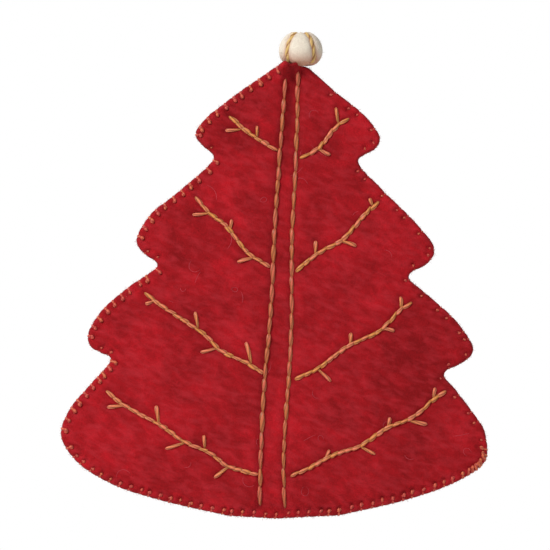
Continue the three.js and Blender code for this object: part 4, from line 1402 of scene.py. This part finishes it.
def ball_point(longitude, latitude, settings):
    """Point of the lobed ball and its painted shade, from how deep it lies in the grooves and how
    near a pole.

    A flattened globe, fuller than an ellipse and widest below its middle, whose radius falls in a
    bell across each of the grooves and whose poles sink where the threads meet.
    """
    radius = (BALL_HIGH[0] - BALL_LOW[0]) / 2
    top, bottom = BALL_HIGH[2] - TIP_Z, BALL_LOW[2] - TIP_Z
    round_off = np.clip(np.cos(latitude), 0.0, 1.0) ** BALL_FULLNESS
    turns = (longitude[..., None] - groove_turns(latitude) + np.pi) % (2 * np.pi) - np.pi
    apart = radius * round_off * np.abs(turns).min(axis=-1)
    depth = settings.groove / MM * bell(apart, settings.groove_width / MM)
    depth = depth * (0.25 + 0.75 * round_off)
    reach = radius * round_off - depth * np.clip(np.cos(latitude), 0.0, 1.0) ** 0.5
    half = (top - bottom) / 2 + np.where(latitude > 0.0, BALL_OVER, BALL_UNDER)
    pole = bell(radius * round_off, POLE_REACH)
    drop = depth * np.abs(np.sin(latitude)) ** 2 + POLE_DEPTH * pole
    lift = np.sin(latitude) * (half - drop)
    point = space(
        reach * np.cos(longitude), reach * np.sin(longitude),
        (top + bottom) / 2 + lift - settings.sag / MM * np.cos(latitude) ** 2)
    return point, depth / (settings.groove / MM) + 0.5 * pole


class ORNAMENT_OT_ball(bpy.types.Operator):
    """Make the lobed felt ball on the tip."""

    bl_idname = "ornament.ball"
    bl_label = "Felt ball"

    def execute(self, context):
        """The ball on a grid of longitude and latitude, with painted shade: tan below and in its
        hollows.
        """
        settings = context.scene.ornament_ball
        around, upward = 180, 90
        longitude = np.arange(around) * 2 * np.pi / around
        latitude = np.linspace(-np.pi / 2, np.pi / 2, upward)
        longitude, latitude = np.meshgrid(longitude, latitude, indexing="ij")
        point, hollow_shade = ball_point(longitude, latitude, settings)
        # Painted shade: darker towards the bottom of the ball.
        below = 0.85 * step_up(-np.sin(latitude), -0.15, 0.9)
        piece = make_piece(
            "wool_ball", point, ring_faces(around, upward),
            {"hollow_shade": np.clip(0.75 * hollow_shade + below, 0.0, 1.0).reshape(-1)})
        settle(piece, "ball", "cream_felt", "cream felt", "felt_ball")
        return {"FINISHED"}


class ORNAMENT_OT_ball_threads(bpy.types.Operator):
    """Wind the thread round the ball and tie it to the tip."""

    bl_idname = "ornament.ball_threads"
    bl_label = "Ball threads"

    def execute(self, context):
        """The winding lies in the grooves from pole to pole, and the tie runs down the axis.

        Under the ball the winding is drawn tight and lies inside the wool.
        """
        settings = context.scene.ornament_ball
        rings, sides = 60, 9
        latitude = np.linspace(-WINDING_END, WINDING_END, rings)
        longitude = groove_turns(latitude).T
        latitude = np.broadcast_to(latitude, longitude.shape)
        middle, _ = ball_point(longitude, latitude, settings)
        course = unit(np.gradient(middle, axis=1))
        across = space(-np.sin(longitude), np.cos(longitude), 0.0)
        up = unit(np.cross(course, across))
        half = settings.thread / MM / 2
        taper = np.clip(1.0 - np.abs(latitude / WINDING_END) ** 12, 0.0, 1.0) ** 0.5
        sunk = half * (0.4 + 1.1 * step_up(-latitude, 0.75, 1.1))
        middle = middle + up * sunk[..., None]
        twist = run_of(middle[0])[None, :] * 0.9 * np.ones((len(GROOVES), 1))
        points, quads, coordinates = strands(
            middle, across, up, half * taper, half * taper, twist, sides)
        layers = {
            "thread": coordinates,
            "tint": np.repeat(np.linspace(0.0, 0.6, len(GROOVES)), rings * sides),
            "shaded": section_shade(len(GROOVES), rings, sides, np.zeros((1, rings))),
        }
        winding = make_piece("winding_floss", points, quads, layers)
        settle(winding, "ball", "gold_thread", "ball thread", "ball_wrap_thread")
        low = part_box("anchor_thread")[0][2] / MM - TIP_Z
        high = BALL_HIGH[2] - TIP_Z
        up_to = np.linspace(low, high, TIE_RINGS)
        knots = 0.0
        for from_end, (knot, inset, reach) in ((up_to - low, LOW_KNOT), (high - up_to, HIGH_KNOT)):
            knots = knots + knot * bell(from_end - inset, reach)
        radius = np.maximum(TIE_RADIUS, knots)
        radius[[0, -1]] = 0.0
        middle = space(0.0, 0.0, up_to)[None]
        across = everywhere((1.0, 0.0, 0.0), middle)
        up = everywhere((0.0, 1.0, 0.0), middle)
        points, quads, coordinates = strands(
            middle, across, up, radius[None], radius[None], up_to[None] * 1.4, 12)
        layers = {
            "thread": coordinates,
            "tint": np.full(len(points), 0.3),
            "shaded": np.zeros(len(points)),
        }
        tie = make_piece("ball_tie", points, quads, layers)
        settle(tie, "anchor", "gold_thread", "ball thread", "anchor_thread")
        return {"FINISHED"}


def hairs(roots, normals, chance, size):
    """Short bent fibres: each rises along the normal and bends over to a side of its own."""
    leans = unit(chance.normal(0.0, 1.0, roots.shape))
    count, rings, sides = len(roots), 4, 3
    s = np.linspace(0.0, 1.0, rings)[None, :, None]
    reach = (size * chance.uniform(0.5, 1.3, count))[:, None, None]
    middle = roots[:, None] + reach * (
        normals[:, None] * (0.9 * s - 0.5 * s**2) + leans[:, None] * (0.35 * s + 0.55 * s**2))
    course = unit(np.gradient(middle, axis=1))
    across = unit(np.cross(course, normals[:, None] + 0.31 * leans[:, None, ::-1]))
    up = unit(np.cross(across, course))
    taper = np.array((0.0, 1.0, 0.8, 0.0)) * NAP_RADIUS
    half = np.broadcast_to(taper, (count, rings))
    return strands(middle, across, up, half, half, np.zeros((count, rings)), sides, 0.0)[:2]


class ORNAMENT_OT_nap(bpy.types.Operator):
    """Raise the short nap and the loose hairs of the felt."""

    bl_idname = "ornament.nap"
    bl_label = "Felt nap"

    def execute(self, context):
        """Bent fibres over both plies and the ball, thickest round the rim, and loose pale hairs."""
        chance = np.random.default_rng(SEED + 3)
        parts = []
        for front, many in ((True, FRONT_NAP), (False, BACK_NAP)):
            outer, _, gap, _ = ply_surface(front)
            down = unit(np.roll(outer, -1, axis=0) - np.roll(outer, 1, axis=0))
            inside = unit(np.gradient(outer, axis=1))
            normal = unit(np.cross(down, inside))
            normal = normal * np.where(normal[..., 1:2] * (-1.0 if front else 1.0) < 0, -1.0, 1.0)
            weight = (0.35 + 2.2 * np.exp(-gap / 1.2)).reshape(-1)
            pick = chance.choice(weight.size, many, False, weight / weight.sum())
            made = hairs(
                outer.reshape(-1, 3)[pick], normal.reshape(-1, 3)[pick], chance, size=0.55)
            parts.append((*made, {}))
        piece = make_piece("felt_nap", *joined(parts)[:2])
        settle(piece, "tree", "red_felt", "red nap")
        self.lay_long_hairs(chance)
        settings = context.scene.ornament_ball
        longitude = chance.uniform(0.0, 2 * np.pi, BALL_NAP)
        latitude = np.arcsin(chance.uniform(-0.95, 0.98, BALL_NAP))
        point, _ = ball_point(longitude, latitude, settings)
        middle = np.array((0.0, 0.0, (BALL_HIGH[2] + BALL_LOW[2]) / 2 - TIP_Z))
        piece = make_piece("ball_nap", *hairs(point, unit(point - middle), chance, size=0.5))
        settle(piece, "ball", "cream_felt", "cream nap")
        return {"FINISHED"}

    def lay_long_hairs(self, chance):
        """Pale hairs that lie on the front felt in slow curves."""
        outer, _, gap, _ = ply_surface(True)
        inside = outer[gap > 4.0]
        count, rings, sides = LOOSE_HAIRS, 12, 3
        root = inside[chance.integers(0, len(inside), count)][:, ::2]
        heading = chance.normal(-0.35, 0.9, (count, 1))
        bend = chance.normal(0.0, 1.3, (count, 1))
        s = np.linspace(-0.5, 0.5, rings)[None, :]
        reach = chance.uniform(1.5, 5.5, (count, 1))
        turn = heading + bend * s
        x = root[:, :1] + reach * s * np.cos(turn)
        z = root[:, 1:] + reach * s * np.sin(turn)
        middle = space(x, -felt_height(True, x, z) - 0.015, z)
        course = unit(np.gradient(middle, axis=1))
        up = everywhere((0.0, -1.0, 0.0), middle)
        across = unit(np.cross(course, up))
        half = np.broadcast_to(LOOSE_RADIUS * np.clip(1.0 - (2 * s) ** 6, 0.0, 1.0), (count, rings))
        made = strands(middle, across, up, half, half, np.zeros((count, rings)), sides, 0.0)
        piece = make_piece("long_hairs", *made[:2])
        settle(piece, "tree", "red_felt", "pale hair")


class ORNAMENT_OT_stage(bpy.types.Operator):
    """Set the floor, the lamps, the world and the camera."""

    bl_idname = "ornament.stage"
    bl_label = "Stage"

    def execute(self, context):
        """The camera looks straight at the front, and the floor lies below the picture."""
        stage = context.scene.ornament_stage
        self.make_camera(context, stage)
        self.make_floor(stage)
        self.make_lamps(context, stage)
        self.make_world(context)
        context.scene.view_settings.view_transform = "Standard"
        return {"FINISHED"}

    def make_camera(self, context, stage):
        """A long lens square to the front."""
        lens = bpy.data.cameras.new("view")
        lens.sensor_width = 36.0
        lens.lens = lens.sensor_width * stage.distance / stage.frame_width
        lens.clip_start = 0.05
        lens.clip_end = 50.0
        camera = bpy.data.objects.new("view", lens)
        camera.location = (stage.across, -stage.distance, stage.up)
        camera.rotation_euler = (math.pi / 2, 0.0, 0.0)
        context.scene.collection.objects.link(camera)
        context.scene.camera = camera

    def make_floor(self, stage):
        """A round pale floor below the hem, a grid of circles and spokes."""
        level = CAD_BOX[0][2] / MM - stage.drop / MM - TIP_Z
        around, rings = 96, 24
        angle = np.arange(around)[:, None] * 2 * np.pi / around
        radius = np.linspace(0.0, FLOOR_RADIUS, rings)[None, :]
        points = space(
            radius * np.cos(angle) + stage.across / MM, radius * np.sin(angle), level)
        quads = ring_faces(around, rings)[:, ::-1]
        floor = make_piece("floor", points, quads, outward=False)
        material, tree, shader = fresh_material("floor_paper")
        grain = noise_at(tree, millimetre_place(tree), 0.05, 2.0)
        coloured = ramp(tree, grain, (0.3, scaled(stage.floor, 0.97)), (0.7, stage.floor))
        surface(tree, shader, coloured, roughness=0.9)
        floor.data.materials.append(material)

    def make_lamps(self, context, stage):
        """A soft key from the upper left, a weak fill from the right and one from behind."""
        for name, place, power, size in LAMPS:
            lamp = bpy.data.lights.new(name, "AREA")
            lamp.energy = power
            lamp.size = size
            lit = bpy.data.objects.new(name, lamp)
            lit.location = place
            away = np.array(place) - np.array((stage.across, 0.0, stage.up))
            flat = math.hypot(away[0], away[1])
            lit.rotation_euler = (
                math.atan2(flat, away[2]), 0.0, math.atan2(away[1], away[0]) + math.pi / 2)
            context.scene.collection.objects.link(lit)

    def make_world(self, context):
        """White where the camera looks, and a softer white as light."""
        world = bpy.data.worlds.new("studio")
        world.use_nodes = True
        tree = world.node_tree
        tree.nodes.clear()
        path = node(tree, "ShaderNodeLightPath")
        seen = 0.0
        for ray in ("Camera", "Glossy", "Transmission"):
            seen = maths(tree, "MAXIMUM", path.outputs[f"Is {ray} Ray"], seen)
        light, white = (
            node(tree, "ShaderNodeBackground", {"Color": full((1.0, 1.0, 1.0)), "Strength": power})
            for power in (DAYLIGHT, 1.0))
        mix = node(tree, "ShaderNodeMixShader", {
            "Fac": seen, 1: light.outputs[0], 2: white.outputs[0]})
        node(tree, "ShaderNodeOutputWorld", {"Surface": mix.outputs[0]})
        context.scene.world = world


STEPS = (
    ORNAMENT_OT_stage,
    ORNAMENT_OT_wadding,
    ORNAMENT_OT_plies,
    ORNAMENT_OT_trunk,
    ORNAMENT_OT_branches,
    ORNAMENT_OT_overcast,
    ORNAMENT_OT_ball,
    ORNAMENT_OT_ball_threads,
    ORNAMENT_OT_nap,
)


class ORNAMENT_PT_panel(bpy.types.Panel):
    """Settings and steps of the ornament."""

    bl_idname = "ORNAMENT_PT_panel"
    bl_label = "Felt Tree Ornament"
    bl_space_type = "VIEW_3D"
    bl_region_type = "UI"
    bl_category = "Ornament"

    def draw(self, context):
        """Each step as a button, then each group of settings."""
        for step in STEPS:
            self.layout.operator(step.bl_idname)
        for group in GROUPS:
            box = self.layout.box()
            settings = getattr(context.scene, group)
            for label in settings.__annotations__:
                box.prop(settings, label)


GROUPS = {
    "ornament_felt": FeltSettings,
    "ornament_thread": ThreadSettings,
    "ornament_ball": BallSettings,
    "ornament_stage": StageSettings,
}


def register():
    """Adds the classes and the scene's settings."""
    for kind in (*GROUPS.values(), *STEPS, ORNAMENT_PT_panel):
        bpy.utils.register_class(kind)
    for group, kind in GROUPS.items():
        setattr(bpy.types.Scene, group, bpy.props.PointerProperty(type=kind))


def unregister():
    """Takes the settings and the classes away."""
    for group in GROUPS:
        delattr(bpy.types.Scene, group)
    for kind in reversed((*GROUPS.values(), *STEPS, ORNAMENT_PT_panel)):
        bpy.utils.unregister_class(kind)


def main():
    """Makes the stage and the pieces in order."""
    register()
    for step in STEPS:
        group, name = step.bl_idname.split(".")
        getattr(getattr(bpy.ops, group), name)()


if __name__ == "__main__":
    main()
